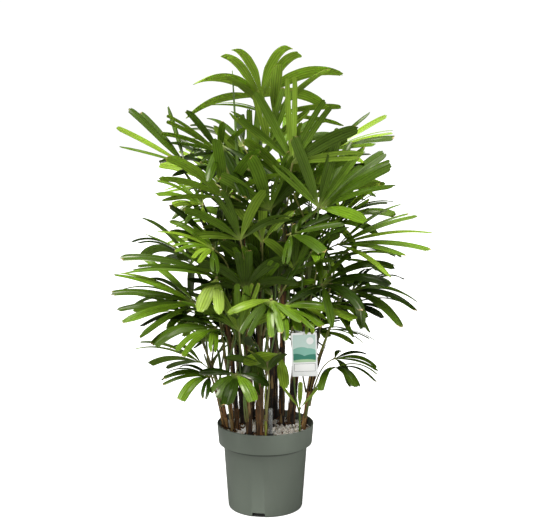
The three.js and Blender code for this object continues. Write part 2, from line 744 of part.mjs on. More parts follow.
// The card hangs from a flat loop that runs back round a cane
function label() {
  const outline = roundedCard(labelWidth, labelHeight, labelCorner, new THREE.Shape());
  const cardDepth = { depth: labelThickness, bevelEnabled: false, curveSegments: 3 };
  const card = new THREE.ExtrudeGeometry(outline, cardDepth);
  card.rotateX(Math.PI / 2).rotateY(radians(-labelTilt)).translate(...labelCentre);
  const top = labelCentre[2] + labelHeight / 2;
  const cane = caneAxis(canes.l, caneShare(canes.l, top));
  const front = labelCentre[1] - labelThickness;
  const loop = (inset) => {
    const path = new THREE.Path();
    const radius = strapLoop - inset;
    path.absarc(cane.x, cane.y, radius, 0, Math.PI, false);
    path.lineTo(labelCentre[0] - strapWidth / 2 + inset, front + inset);
    path.lineTo(labelCentre[0] + strapWidth / 2 - inset, front + inset);
    return path.getPoints(4);
  };
  const band = new THREE.Shape(loop(0));
  band.holes.push(new THREE.Path(loop(strapThickness)));
  const strap = new THREE.ExtrudeGeometry(band, { depth: strapWidth, bevelEnabled: false });
  strap.translate(0, 0, top - strapWidth + strapRise);
  return geometryOf(solidOf(card).add(solidOf(strap)));
}

// The space before the card, where no leaf hangs
function labelFront() {
  const { width, depth, height, lift } = labelView;
  const [x, y, z] = labelCentre;
  return new THREE.BoxGeometry(width, depth, height).translate(x, y - depth / 2, z + lift);
}

function gaugeFoot() {
  const needleTop = gaugeTop - needleShort;
  const foot = gravelTop + touchGap;
  const shoulder = foot + gaugeFootHeight;
  const flange = gaugeRadius + gaugeFlange;
  return lathe([
    [0, foot], [flange, foot], [flange, shoulder], [needleRadius, shoulder],
    [needleRadius, needleTop], [0, needleTop],
  ], gaugeSides).translate(...gaugePlace, 0);
}

function gaugeTube() {
  const foot = gravelTop + 2 * touchGap + gaugeFootHeight;
  const inner = gaugeRadius - gaugeWall;
  return lathe([
    [inner, foot], [gaugeRadius, foot], [gaugeRadius, gaugeTop - gaugeShoulder],
    [gaugeRadius - gaugeShoulder, gaugeTop], [0, gaugeTop], [0, gaugeTop - gaugeWall],
    [inner, gaugeTop - gaugeShoulder - gaugeWall], [inner, foot],
  ], gaugeSides).translate(...gaugePlace, 0);
}

// ---- The whole plant ----

const potGeometry = pot();
const labelGeometry = label();
const gaugeFootGeometry = gaugeFoot();
const gaugeTubeGeometry = gaugeTube();
addNode('pot', potGeometry, potMaterial);
addNode('root_ball', rootBall(), soilMaterial);
addNode('gravel', gravel(), gravelMaterial);
addNode('label', labelGeometry, cardMaterial);
addNode('gauge_foot', gaugeFootGeometry, blackMaterial);
addNode('gauge_tube', gaugeTubeGeometry, clearMaterial);
for (const geometry of [potGeometry, labelGeometry, labelFront(), gaugeTubeGeometry]) {
  obstacles.push(bodyOf(geometry, 'made', 'made'));
}
for (const [name, cane] of Object.entries(canes)) {
  addNode(`cane_${name}`, caneGeometry(cane, 0), sheathMaterial);
  obstacles.push(bodyOf(caneGeometry(cane, touchGap), `cane_${name}`, 'cane'));
  obstacles.push(bodyOf(tipGeometry(cane, touchGap), `head_${name}`, 'tip'));
}

const fronds = outlineFronds.map(frondOf);
fronds.push(frondOf(suckerFrond, fronds.length));
crownFronds(fronds);
for (const row of frontFronds) {
  fronds.push(frondOf(row, fronds.length));
}
for (const frond of fronds) {
  const single = frond.footHeight || !frond.cane;
  frond.head = single ? `frond_${String(frond.index).padStart(2, '0')}` : `head_${frond.cane}`;
}
const standing = fronds.filter(placeFrond);
standing.forEach(placeLeaflets);
for (const name of new Set(standing.map((frond) => frond.head))) {
  const shells = standing.filter((frond) => frond.head === name).map(frondGeometry);
  if (!name.startsWith('head_')) {
    addNode(name, shells[0], leafMaterial);
  } else {
    const tip = solidOf(tipGeometry(canes[name.slice('head_'.length)], 0));
    const head = shells.reduce((whole, shell) => whole.add(solidOf(shell)), tip);
    addNode(name, geometryOf(head), leafMaterial);
  }
}

export default model;
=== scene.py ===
import math

import bmesh
import bpy
import numpy as np
from mathutils import Euler, Matrix, Vector, kdtree, noise


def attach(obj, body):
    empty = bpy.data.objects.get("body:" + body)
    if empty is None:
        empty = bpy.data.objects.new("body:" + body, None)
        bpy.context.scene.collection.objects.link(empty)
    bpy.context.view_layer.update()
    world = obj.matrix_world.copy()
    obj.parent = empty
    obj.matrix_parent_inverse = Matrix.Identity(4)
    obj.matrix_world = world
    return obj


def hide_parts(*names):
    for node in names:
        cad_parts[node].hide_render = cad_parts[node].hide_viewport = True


# A lady palm in its nursery pot. Shapes are worked out in millimetres and written in metres.
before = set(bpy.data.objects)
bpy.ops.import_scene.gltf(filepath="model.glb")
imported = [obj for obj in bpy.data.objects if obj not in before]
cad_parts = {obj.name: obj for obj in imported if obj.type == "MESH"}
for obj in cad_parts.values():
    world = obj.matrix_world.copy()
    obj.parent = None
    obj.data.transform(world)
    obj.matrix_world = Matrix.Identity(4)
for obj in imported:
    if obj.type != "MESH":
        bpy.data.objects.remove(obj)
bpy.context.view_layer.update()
scene = bpy.context.scene
mm = 0.001
bakeMap = "OFBake"  # the leaf, petiole and bark patterns follow this map
print("frame loaded")

# Camera, light and floor
studio = {
    "cameraPlace": (0.003, -2.8, 1.064),
    "cameraAim": (0.003, 0, 0.68),
    "lens": 69.57,
    "floorSize": 30,
    "floorColour": (0.26, 0.26, 0.25),
    "floorGlow": 1.2,
    "worldLight": 0.1,
    "worldSeen": 1.05,
    "sunPlace": (-0.95, -1.15, 2.8),
    "sunStrength": 6.9,
    "sunSpread": 26,
    "glowFrom": (0.099, 0.106),  # the floor glows from here outwards, so not under the pot
}
lamps = {  # place, aim, size, power
    "keyLamp": ((-1.5, -2.2, 2.3), (0, 0, 0.7), 1.2, 10),
    "rightLamp": ((2.3, -0.9, 1.3), (0, 0, 0.6), 1.2, 22),
    "lowLamp": ((-0.5, -2.4, 0.75), (0.02, 0, 0.3), 0.8, 11),
    "topLamp": ((0, -0.1, 2.8), (0, 0, 0.9), 1.8, 52),
}


def aimed(place, aim):
    return (Vector(aim) - Vector(place)).to_track_quat("-Z", "Y").to_euler()


def linked(name, data):
    made = bpy.data.objects.new(name, data)
    scene.collection.objects.link(made)
    return made


def setStudio():
    camera = linked("camera", bpy.data.cameras.new("camera"))
    camera.data.lens = studio["lens"]
    camera.location = studio["cameraPlace"]
    camera.rotation_euler = aimed(studio["cameraPlace"], studio["cameraAim"])
    scene.camera = camera
    for name, (place, aim, size, power) in lamps.items():
        lamp = linked(name, bpy.data.lights.new(name, "AREA"))
        lamp.data.size = size
        lamp.data.energy = power
        lamp.location = place
        lamp.rotation_euler = aimed(place, aim)
    sun = linked("sun", bpy.data.lights.new("sun", "SUN"))
    sun.data.energy = studio["sunStrength"]
    sun.data.angle = math.radians(studio["sunSpread"])
    sun.rotation_euler = aimed(studio["sunPlace"], (0, 0, 0))
    setFloor()
    setWorld()
    scene.view_settings.view_transform = "Standard"


def setFloor():
    bm = bmesh.new()
    bmesh.ops.create_grid(bm, x_segments=1, y_segments=1, size=studio["floorSize"])
    paint = Finish("floorPaint", 0.9)
    paint.give("Base Color", (*studio["floorColour"], 1))
    paint.give("Emission Color", (1, 1, 1, 1))
    fromMiddle = paint.add("VectorMath", {0: paint.place()}, operation="LENGTH").outputs["Value"]
    seen = paint.add("LightPath").outputs["Is Camera Ray"]
    glow = paint.times(seen, studio["floorGlow"])
    outside = paint.ranged(fromMiddle, *studio["glowFrom"])
    paint.give("Emission Strength", paint.times(glow, outside))
    floor = objectOf("floor", bm, [paint.material])


def setWorld():
    # A white backdrop to the camera, and a dim one to everything else
    scene.world = bpy.data.worlds.new("studioWorld")
    scene.world.use_nodes = True
    tree = scene.world.node_tree
    sky = tree.nodes["Background"]
    sky.inputs["Color"].default_value = (1, 1, 1, 1)
    path = tree.nodes.new("ShaderNodeLightPath")
    level = tree.nodes.new("ShaderNodeMapRange")
    level.inputs["To Min"].default_value = studio["worldLight"]
    level.inputs["To Max"].default_value = studio["worldSeen"]
    tree.links.new(path.outputs["Is Camera Ray"], level.inputs["Value"])
    tree.links.new(level.outputs["Result"], sky.inputs["Strength"])


class Finish:
    # A material with the nodes of its pattern
    def __init__(self, name, roughness=0.5):
        self.material = bpy.data.materials.new(name)
        self.material.use_nodes = True
        self.tree = self.material.node_tree
        self.shader = self.tree.nodes["Principled BSDF"]
        self.shader.inputs["Roughness"].default_value = roughness

    def add(self, kind, inputs=None, **settings):
        node = self.tree.nodes.new("ShaderNode" + kind)
        for name, value in settings.items():
            setattr(node, name, value)
        for name, value in (inputs or {}).items():
            self.put(node, name, value)
        return node

    def put(self, node, name, value):
        if isinstance(value, bpy.types.NodeSocket):
            self.tree.links.new(value, node.inputs[name])
        else:
            node.inputs[name].default_value = value

    def give(self, name, value):
        self.put(self.shader, name, value)

    def place(self):
        return self.add("TexCoord").outputs["Object"]

    def map(self):
        return self.add("UVMap", uv_map=bakeMap).outputs["UV"]

    def part(self, vector, axis):
        return self.add("SeparateXYZ", {"Vector": vector}).outputs[axis]

    def maths(self, operation, a, b=0.0):
        return self.add("Math", {0: a, 1: b}, operation=operation).outputs[0]

    def times(self, a, b):
        return self.maths("MULTIPLY", a, b)

    def ramp(self, value, stops):
        # Stops are a place and a colour, or a place and a grey
        node = self.add("ValToRGB", {"Fac": value})
        elements = node.color_ramp.elements
        while len(elements) < len(stops):
            elements.new(0.5)
        for element, (place, colour) in zip(elements, stops):
            element.position = place
            element.color = (*(colour if isinstance(colour, tuple) else (colour,) * 3), 1)
        return node.outputs["Color"]

    def noise(self, vector, scale, detail=3.0, roughness=0.5):
        if isinstance(scale, tuple):  # a pattern stretched along its axes
            vector = self.add("Mapping", {"Vector": vector, "Scale": scale}).outputs["Vector"]
            scale = 1.0
        node = self.add("TexNoise", {"Vector": vector, "Scale": scale, "Detail": detail,
                                     "Roughness": roughness})
        return node.outputs["Fac"]

    def mix(self, share, a, b, blend="MIX"):
        node = self.add("MixRGB", {"Fac": share, "Color1": a, "Color2": b}, blend_type=blend)
        return node.outputs["Color"]

    def ranged(self, value, low, high, toLow=0.0, toHigh=1.0):
        node = self.add("MapRange", {"Value": value, "From Min": low, "From Max": high,
                                     "To Min": toLow, "To Max": toHigh})
        return node.outputs["Result"]

    def bump(self, height, strength, distance):
        node = self.add("Bump", {"Height": height, "Strength": strength, "Distance": distance})
        self.give("Normal", node.outputs["Normal"])


def plainFinish(name, colour, roughness):
    finish = Finish(name, roughness)
    finish.give("Base Color", (*colour, 1))
    return finish.material


def scaled(colour, by):
    return tuple(channel * by for channel in colour)


leafPrint = {"columns": 16, "rows": 4,  # cells of the leaf map
             "ribsAcross": 6, "veinsPerRib": 4}  # ribs across a cell
leafTones = {  # the upper side of a young to an old leaf; dark and deep are partly older leaves, partly painted shade for leaves deep in the clump
    "lime": (0.22, 0.31, 0.042),
    "fresh": (0.13, 0.204, 0.014),
    "mid": (0.067, 0.122, 0.006),
    "dark": (0.03, 0.057, 0.003),
    "deep": (0.011, 0.0235, 0.001),
}
leafLook = {
    "pale": (0.125, 0.2, 0.03), "paleShare": 0.25,  # what an underside takes up: partly its own paler colour, partly painted light that stands in for light through the blade
    "footColour": (0.3, 0.36, 0.09, 1), "wornColour": (0.3, 0.2, 0.08, 1),
    "topRoughness": (0.36, 0.5), "underRoughness": (0.5, 0.62),
    "topShine": (0.08, 0.75, 0.35),  # least, most, and where no pattern is read
    "underShine": (0.08, 0.25, 0.15),
    "shineTint": (1, 0.97, 0.8, 1),
    "glow": 0.25, "glowReach": (0.7, 1, 0.3), "glowDepth": 0.002,  # light through the blade
}


def leafFinish(name, tone, under):
    side = "under" if under else "top"
    colour = leafTones[tone]
    # A paler underside: partly its own colour, partly painted light through the blade
    if under:
        colour = tuple(lerp(c, pale, leafLook["paleShare"])
                       for c, pale in zip(colour, leafLook["pale"]))
    finish = Finish(name)
    uv = finish.map()
    across = finish.times(finish.part(uv, "X"), leafPrint["columns"] * leafPrint["ribsAcross"])
    along = finish.maths("FRACT", finish.times(finish.part(uv, "Y"), leafPrint["rows"]))
    rib = finish.maths("PINGPONG", across, 0.5)  # 0 in a fold's valley, 0.5 on its ridge
    vein = finish.maths("PINGPONG", finish.times(across, leafPrint["veinsPerRib"]), 0.5)
    streaks = finish.noise(uv, (700, 9, 1), 2)
    patches = finish.noise(uv, (18, 7, 1), 3)
    body = finish.ramp(patches, [(0.3, scaled(colour, 0.78)), (0.5, colour),
                                 (0.72, scaled(colour, 1.3))])
    # Painted shade along each fold's valley and a painted highlight on its ridge
    foldShadeAndHighlight = finish.ramp(finish.ranged(rib, 0, 0.5), [(0, 0.4), (0.25, 0.95), (1, 1.16)])
    body = finish.mix(0.85, body, foldShadeAndHighlight, "MULTIPLY")
    veins = finish.ramp(finish.times(vein, streaks), [(0, 0.85), (0.3, 1.1)])
    body = finish.mix(0.6, body, veins, "MULTIPLY")
    body = finish.mix(finish.ranged(along, 0.02, 0.14, 0.4, 0.0), body, leafLook["footColour"])
    worn = finish.times(finish.ranged(along, 0.965, 0.985), finish.ranged(patches, 0.55, 0.62))
    body = finish.mix(worn, body, leafLook["wornColour"])
    finish.give("Base Color", body)
    finish.give("Roughness", finish.ranged(streaks, 0.3, 0.7, *leafLook[side + "Roughness"]))
    least, most, plain = leafLook[side + "Shine"]
    finish.give("Specular IOR Level", plain)
    sheen = finish.noise(uv, (30, 5, 1), 2)
    finish.give("Specular IOR Level", finish.ranged(sheen, 0.55, 0.65, least, most))
    finish.give("Specular Tint", leafLook["shineTint"])
    finish.shader.subsurface_method = "BURLEY"
    finish.give("Subsurface Weight", leafLook["glow"])
    finish.give("Subsurface Radius", leafLook["glowReach"])
    finish.give("Subsurface Scale", leafLook["glowDepth"])
    finish.bump(rib, 0.15, 0.0005)
    return finish.material


def petioleFinish(name, colour):
    finish = Finish(name, 0.42)
    uv = finish.map()
    streaks = finish.noise(uv, (9, 5, 1), 3)
    body = finish.ramp(streaks, [(0.3, scaled(colour, 0.7)), (0.7, scaled(colour, 1.25))])
    nearFoot = finish.ranged(finish.part(uv, "Y"), 0.0, 0.22, 1, 0)
    brown = finish.times(nearFoot, finish.ranged(streaks, 0.3, 0.6))
    finish.give("Base Color", finish.mix(brown, body, (0.16, 0.09, 0.035, 1)))
    finish.bump(streaks, 0.3, 0.0006)
    return finish.material


barkPrint = {"columns": 4, "foot": 200, "height": 800}  # the bark map's cells, and what it spans


def barkFinish(name, low, high, changeFrom, changeTo):
    # Brown sheaths low on the cane, which give way to its green between the two heights
    finish = Finish(name, 0.8)
    uv = finish.map()
    fibres = finish.noise(uv, (70, 16, 1), 4, 0.7)
    patches = finish.noise(uv, (14, 16, 1), 3)
    brown = finish.ramp(fibres, [(0.34, scaled(low, 0.1)), (0.48, scaled(low, 0.7)),
                                 (0.56, scaled(low, 1.8)), (0.68, scaled(low, 3.6))])
    green = finish.ramp(fibres, [(0.3, scaled(high, 0.6)), (0.6, high), (0.8, scaled(high, 1.6))])
    uneven = finish.times(finish.maths("SUBTRACT", patches, 0.5), 0.5)
    change = finish.maths("ADD", finish.part(uv, "Y"), uneven)
    share = finish.ranged(change, (changeFrom - barkPrint["foot"]) / barkPrint["height"],
                          (changeTo - barkPrint["foot"]) / barkPrint["height"])
    body = finish.mix(share, brown, green)
    body = finish.mix(0.7, body, finish.ramp(patches, [(0.3, 0.45), (0.7, 1.4)]), "MULTIPLY")
    finish.give("Base Color", body)
    finish.bump(fibres, 0.9, 0.0016)
    return finish.material


def objectOf(name, bm, materials, smooth=True):
    mesh = bpy.data.meshes.new(name)
    bm.to_mesh(mesh)
    bm.free()
    for material in materials:
        mesh.materials.append(material)
    if smooth:
        mesh.shade_smooth()
        mesh.set_sharp_from_angle(angle=math.radians(38))
    return linked(name, mesh)


def finished(piece):
    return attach(piece, "root")


class Heap:
    # Many small closed shapes, drawn in millimetres and gathered into one mesh
    def __init__(self):
        self.points, self.quads, self.finishes, self.places = [], [], [], []
        self.count = 0

    def add(self, points, quads, finishes=0, places=None):
        self.points.append(points)
        self.quads.append(np.asarray(quads) + self.count)
        self.finishes.append(np.broadcast_to(finishes, len(quads)))
        self.places.append(np.zeros((len(points), 2)) if places is None else places)
        self.count += len(points)

    def make(self, name, materials, sharp=50):
        points = np.concatenate(self.points) * mm
        quads = np.concatenate(self.quads)
        places = np.concatenate(self.places)
        isTriangle = quads[:, 2] == quads[:, 3]
        lengths = np.where(isTriangle, 3, 4)
        keep = np.ones(quads.shape, bool)
        keep[isTriangle, 3] = False
        corners = quads[keep]
        mesh = bpy.data.meshes.new(name)
        mesh.vertices.add(len(points))
        mesh.vertices.foreach_set("co", points.astype(np.float32).ravel())
        mesh.loops.add(len(corners))
        mesh.loops.foreach_set("vertex_index", corners.astype(np.int32))
        mesh.polygons.add(len(quads))
        mesh.polygons.foreach_set("loop_start", (np.cumsum(lengths) - lengths).astype(np.int32))
        mesh.polygons.foreach_set("material_index", np.concatenate(self.finishes).astype(np.int32))
        uv = mesh.uv_layers.new(name=bakeMap)
        uv.data.foreach_set("uv", places[corners].astype(np.float32).ravel())
        mesh.update(calc_edges=True)
        mesh.validate()
        for material in materials:
            mesh.materials.append(material)
        mesh.shade_smooth()
        mesh.set_sharp_from_angle(angle=math.radians(sharp))
        return linked(name, mesh)


knownFaces = {}


def ringQuads(rows, ring):
    return [(i * ring + k, i * ring + (k + 1) % ring,
             (i + 1) * ring + (k + 1) % ring, (i + 1) * ring + k)
            for i in range(rows - 1) for k in range(ring)]


def ringShell(rows, ring):
    # Faces of a closed shell through rows of ring points, with a fan of triangles over each end
    if (rows, ring) not in knownFaces:
        faces = ringQuads(rows, ring)
        last = (rows - 1) * ring
        for k in range(1, ring - 1):
            faces.append((0, k + 1, k, k))
            faces.append((last, last + k, last + k + 1, last + k + 1))
        knownFaces[rows, ring] = np.array(faces)
    return knownFaces[rows, ring]


def turnsOf(sides):
    return np.linspace(0, 2 * math.pi, sides, endpoint=False)


def lerp(a, b, t):
    return a + (b - a) * t


def unit(vector):
    return vector / np.linalg.norm(vector)


def turned(vector, axis, angle):
    # Rodrigues' rotation about a unit axis
    return (vector * math.cos(angle) + np.cross(axis, vector) * math.sin(angle)
            + axis * np.dot(axis, vector) * (1 - math.cos(angle)))


class Stream:
    # Park and Miller's generator, as the solids use it
    def __init__(self, index):
        self.state = (index * 48271 + 11) % 2147483647
        self.draw()
        self.draw()

    def draw(self):
        self.state = self.state * 16807 % 2147483647
        return self.state / 2147483647

    def span(self, low, high):
        return low + (high - low) * self.draw()

    def about(self, width):
        return width * (self.draw() - 0.5)


seeds = {"blades": 5000, "canes": 7000, "fibres": 9000, "flaps": 11000, "chipShapes": 13000,
         "chips": 15000, "crumbs": 17000}

# The plant's rule, the same as that of the solids
gravelFoot = 210.3
gravelTop = 217
touchGap = 0.3
caneRule = {"taper": 0.72, "bow": 0.25, "endFrom": 0.96}
canes = {  # foot, radius of the sheathed foot, tip, length of the spear
    "a": ((-116, 12), 4, (-150, 45, 350), 80),
    "b": ((-105, -8), 4.5, (-160, -30, 440), 90),
    "c": ((-90, -32), 4.5, (-115, -90, 500), 100),
    "d": ((-78, -4), 6, (-120, -20, 640), 110),
    "e": ((-62, 40), 8, (-115, 80, 740), 120),
    "f": ((-44, -62), 8.5, (-66, -60, 820), 385),
    "g": ((-16, -60), 10, (-15, -30, 930), 130),
    "h": ((-40, 92), 8, (-60, 150, 560), 100),
    "j": ((28, 95), 8, (20, 150, 780), 120),
    "k": ((46, 40), 8, (55, 62, 900), 120),
    "l": ((72, 42), 10.5, (125, -30, 720), 110),
    "m": ((1, -92), 4, (2, -118, 390), 80),
    "n": ((104, -2), 5, (178, -40, 520), 100),
    "o": ((110, 36), 5, (180, 74, 600), 100),
    "p": ((72, 92), 6, (92, 150, 390), 90),
    "s": ((12, 16), 8, (28, -48, 640), 110),
}
# The cane, the height of the petiole's foot on it (0 at the growing tip), the hub's place, the
# way the fan points (azimuth, rise, roll), then leaflet length, width, spread, count, bend, tone
outlineFronds = [
    ("g", 0, (-11, -20, 1138), (274, 47, 4), 236, 50, 165, 6, 0.9, "lime"),
    ("k", 0, (22, 20, 1104), (292, 32, -12), 215, 30, 165, 6, 0.5, "lime"),
    ("l", 0, (69, -170, 967), (290, 62, -35), 200, 38, 130, 6, 0.3, "mid"),
    ("f", 0, (-35, -60, 952), (265, 75, 0), 165, 36, 84, 3, 0.15, "fresh"),
    ("e", 0, (-124, 0, 990), (212, 26, 16), 178, 28, 160, 7, 0.3, "mid"),
    ("f", 0, (-215, -20, 959), (168, 33, -24), 212, 26, 78, 5, 0.15, "mid"),
    ("d", 0, (-166, -60, 852), (198, 24, -30), 135, 20, 165, 8, 0.5, "mid"),
    ("c", 0, (-122, -100, 663), (172, 16, -7), 266, 40, 76, 5, 0.45, "mid"),
    ("f", 560, (-64, -170, 771), (236, 60, 24), 160, 34, 130, 5, 0.7, "mid"),
    ("b", 0, (-187, -80, 591), (188, 7, -28), 240, 32, 98, 7, 0.42, "mid"),
    ("b", 330, (-205, -35, 520), (190, 2, -14), 150, 32, 110, 5, 0.5, "dark"),
    ("f", 350, (-67, -180, 533), (270, 70, 0), 145, 34, 100, 5, 0.15, "fresh"),
    ("c", 350, (-131, -140, 534), (202, 4, -16), 170, 38, 135, 5, 0.9, "dark"),
    ("b", 290, (-174, -80, 428), (184, 20, 30), 180, 32, 112, 5, 0.75, "mid"),
    ("c", 262, (-147, -140, 404), (200, 4, -12), 145, 32, 140, 5, 1.05, "dark"),
    ("f", 270, (-76, -180, 420), (262, -30, 0), 104, 42, 165, 5, 1, "dark"),
    ("m", 0, (38, -158, 468), (200, -52, -68), 94, 42, 84, 2, 0.2, "fresh"),
    ("n", 290, (191, -20, 425), (3, 2, 8), 130, 26, 152, 5, 0.95, "dark"),
    ("n", 256, (184, -90, 416), (290, 8, 5), 137, 26, 170, 5, 1, "mid"),
    ("n", 0, (205, 30, 590), (30, 8, 0), 160, 26, 140, 5, 0.8, "dark"),
    ("n", 0, (230, -100, 628), (350, 3, 22), 198, 38, 145, 6, 1.05, "dark"),
    ("o", 0, (192, -90, 750), (345, 6, 24), 240, 34, 95, 6, 0.42, "mid"),
    ("l", 470, (147, -150, 651), (352, 23, 24), 210, 34, 165, 6, 0.8, "dark"),
    ("l", 0, (142, -120, 849), (346, 27, 34), 246, 44, 105, 5, 0.3, "dark"),
    ("l", 0, (124, -60, 870), (290, 66, -20), 200, 32, 125, 6, 0.25, "fresh"),
    ("k", 0, (177, 40, 995), (348, 10, 24), 180, 27, 100, 6, 0.25, "mid"),
    ("m", 0, (45, -190, 600), (335, -4, 30), 140, 38, 120, 4, 0.5, "dark"),
    ("g", 500, (15, -200, 605), (252, -45, -12), 125, 38, 130, 4, 0.7, "mid"),
    ("m", 0, (72, -172, 606), (300, -30, 0), 105, 34, 110, 4, 0.9, "mid"),
    ("g", 620, (-8, -140, 760), (262, 78, 10), 130, 30, 60, 3, 0.2, "fresh"),
    ("s", 0, (136, -175, 854), (275, 76, 16), 190, 32, 78, 4, 0.25, "dark"),
    ("f", 450, (-52, -180, 645), (262, 56, 10), 150, 38, 150, 5, 0.9, "deep"),
    ("f", 480, (-135, -150, 745), (206, 18, -25), 140, 34, 150, 6, 0.6, "mid"),
    ("l", 540, (118, -170, 738), (322, 36, 28), 190, 32, 160, 6, 0.6, "dark"),
    ("f", 660, (-104, -130, 876), (240, 44, 22), 195, 32, 140, 6, 0.45, "fresh"),
    ("k", 700, (70, -90, 905), (300, 52, -22), 195, 32, 165, 6, 0.4, "mid"),
    ("m", 0, (-32, -120, 519), (262, -76, 0), 124, 46, 26, 2, 0.2, "deep"),
    ("o", 470, (178, -70, 790), (330, 40, 28), 190, 32, 160, 6, 0.5, "mid"),
    ("l", 430, (120, -130, 582), (310, -4, 12), 150, 28, 150, 5, 0.8, "fresh"),
    (None, 0, (93, -80, 300), (270, 65, 0), 84, 13, 70, 3, 0.1, "lime"),  # the sucker's young frond
]
crownRows = [  # hub height, reach, azimuths from and to, count, rise, leaflet length, bend
    (990, 80, 40, 140, 2, 34, 165, 0.8),
    (935, 130, 20, 150, 4, 30, 195, 0.7),
    (880, 180, 25, 136, 4, 30, 210, 0.7),
    (780, 200, 10, 118, 4, 24, 215, 0.8),
    (680, 220, 25, 155, 4, 18, 220, 0.9),
    (575, 225, 5, 150, 4, 12, 205, 1),
    (470, 190, 40, 150, 4, 6, 185, 1),
    (800, 80, 190, 350, 3, 50, 185, 0.5),
    (650, 90, 200, 340, 2, 42, 180, 0.6),
]
crownRule = {
    "centre": (0, 15), "width": 30, "spread": 175, "leaflets": 7, "streams": 1000,
    "azimuth": 14, "reach": 0.2, "height": 40, "aim": 20, "rise": 14, "roll": 80,
    "headRise": 160, "headLeastRise": 60, "headLevelWeight": 0.6, "headLoad": 40,
}
frontFronds = [  # in the same order as those of the outline
    ("f", 0, (-116, -110, 1015), (300, -50, 0), 190, 40, 80, 3, 0.3, "deep"),
    ("s", 0, (10, -150, 845), (250, 52, 30), 170, 36, 130, 5, 0.5, "dark"),
    ("g", 0, (10, -110, 1010), (275, 66, 0), 150, 32, 90, 4, 0.2, "fresh"),
    ("l", 0, (66, -180, 788), (335, 6, 24), 165, 34, 150, 5, 0.4, "deep"),
    ("d", 0, (-126, -165, 672), (255, -50, 0), 105, 48, 40, 2, 0.9, "lime"),
]
crownTones = [(0.2, "fresh"), (0.44, "mid"), (0.76, "dark"), (1, "deep")]
suckerFoot = (94, -72, gravelTop + touchGap)
frondRule = {
    "petioleFoot": 3.2, "petioleTip": 1.9, "petioleSpread": 0.32, "petioleLeave": 0.4,
    "petioleArrive": 0.3, "petioleUnder": 0.08, "headFootRise": 12, "headFootStep": 8,
    "petioleShares": (0.34, 0.68, 0.93), "hubRadius": 7, "hubTop": 3.4, "crest": 3.2,
    "bendPower": 1.4, "steps": 24, "edgeLength": 0.78, "edgeTurn": 0.8, "edgeWidth": 0.7,
    "length": 0.2, "width": 0.3, "angle": 0.24, "bend": 0.6, "twist": 50, "cupLeast": 6, "cup": 10,
}
widthShares, widthStops = (0, 0.15, 0.35, 0.6, 0.85, 1), (0.12, 0.5, 0.9, 1, 0.86, 0.52)
leafletTries = [(0, 1), (4, 1.3), (-4, 0.7), (0, 1.8), (7, 0.4), (-7, 2.2)]
petioleTries = [(0, 0), (30, 0), (-30, 0), (60, 0), (-60, 0), (0, 16), (0, -16), (45, 30),
                (-45, -30), (90, 40)]
samePoint = 0.05
leafFloor = 325  # a leaflet that has no place in the solids stays above this height


def caneAxis(name, t):
    foot, _, tip, _ = canes[name]
    lean = 2 * caneRule["bow"] * t * (1 - t) + t * t
    return np.array([lerp(foot[0], tip[0], lean), lerp(foot[1], tip[1], lean),
                     lerp(gravelFoot, tip[2], t)])


def caneShare(name, height):
    return (height - gravelFoot) / (canes[name][2][2] - gravelFoot)


def caneRadius(name, t):
    return canes[name][1] * lerp(1, caneRule["taper"], t)


def caneEnd(name):
    return unit(caneAxis(name, 1) - caneAxis(name, caneRule["endFrom"]))


class Frond:
    def __init__(self, row, index):
        (self.cane, self.footHeight, hub, aim, self.length, self.width,
         self.spread, self.count, self.bend, self.tone) = row
        self.index = index
        self.hub = np.array(hub, float)
        azimuth, rise, roll = (math.radians(angle) for angle in aim)
        self.forward = unit(np.array([math.cos(azimuth), math.sin(azimuth), math.tan(rise)]))
        level = np.array([math.sin(azimuth), -math.cos(azimuth), 0])
        self.side = turned(level, self.forward, roll)
        self.up = np.cross(self.side, self.forward)
        single = self.footHeight or not self.cane
        self.node = f"frond_{index:02d}" if single else f"head_{self.cane}"

    def inFan(self, angle):
        return self.forward * math.cos(angle) + self.side * math.sin(angle)


def nearestHead(hub, fronds):
    best, bestCost = None, math.inf
    for name, (_, _, tip, _) in canes.items():
        load = sum(frond.cane == name and not frond.footHeight for frond in fronds)
        level = abs(hub[2] - tip[2] - crownRule["headRise"])
        cost = math.hypot(hub[0] - tip[0], hub[1] - tip[1])
        cost += crownRule["headLevelWeight"] * level + crownRule["headLoad"] * load
        if hub[2] > tip[2] + crownRule["headLeastRise"] and cost < bestCost:
            best, bestCost = name, cost
    return best


def dealtHub(rule, stream, azimuth, reach, height):
    azimuth += stream.about(rule["azimuth"])
    out = reach * (1 + stream.about(rule["reach"]))
    x, y = rule["centre"]
    hub = (x + out * math.cos(math.radians(azimuth)), y + out * math.sin(math.radians(azimuth)),
           height + stream.about(rule["height"]))
    return azimuth, hub


def dealtAim(rule, stream, azimuth, rise):
    return (azimuth + stream.about(rule["aim"]), rise + stream.about(rule["rise"]),
            stream.about(rule["roll"]))


def allFronds():
    fronds = [Frond(row, i + 1) for i, row in enumerate(outlineFronds)]
    for height, reach, start, end, count, rise, length, bend in crownRows:
        for i in range(count):
            index = len(fronds) + 1
            stream = Stream(crownRule["streams"] + index)
            middle = lerp(start, end, i / (count - 1))
            azimuth, hub = dealtHub(crownRule, stream, middle, reach, height)
            aim = dealtAim(crownRule, stream, azimuth, rise)
            pick = stream.draw()
            tone = next(tone for share, tone in crownTones if pick <= share)
            row = (nearestHead(hub, fronds), 0, hub, aim, length, crownRule["width"],
                   crownRule["spread"], crownRule["leaflets"], bend, tone)
            fronds.append(Frond(row, index))
    for row in frontFronds:
        fronds.append(Frond(row, len(fronds) + 1))
    return fronds


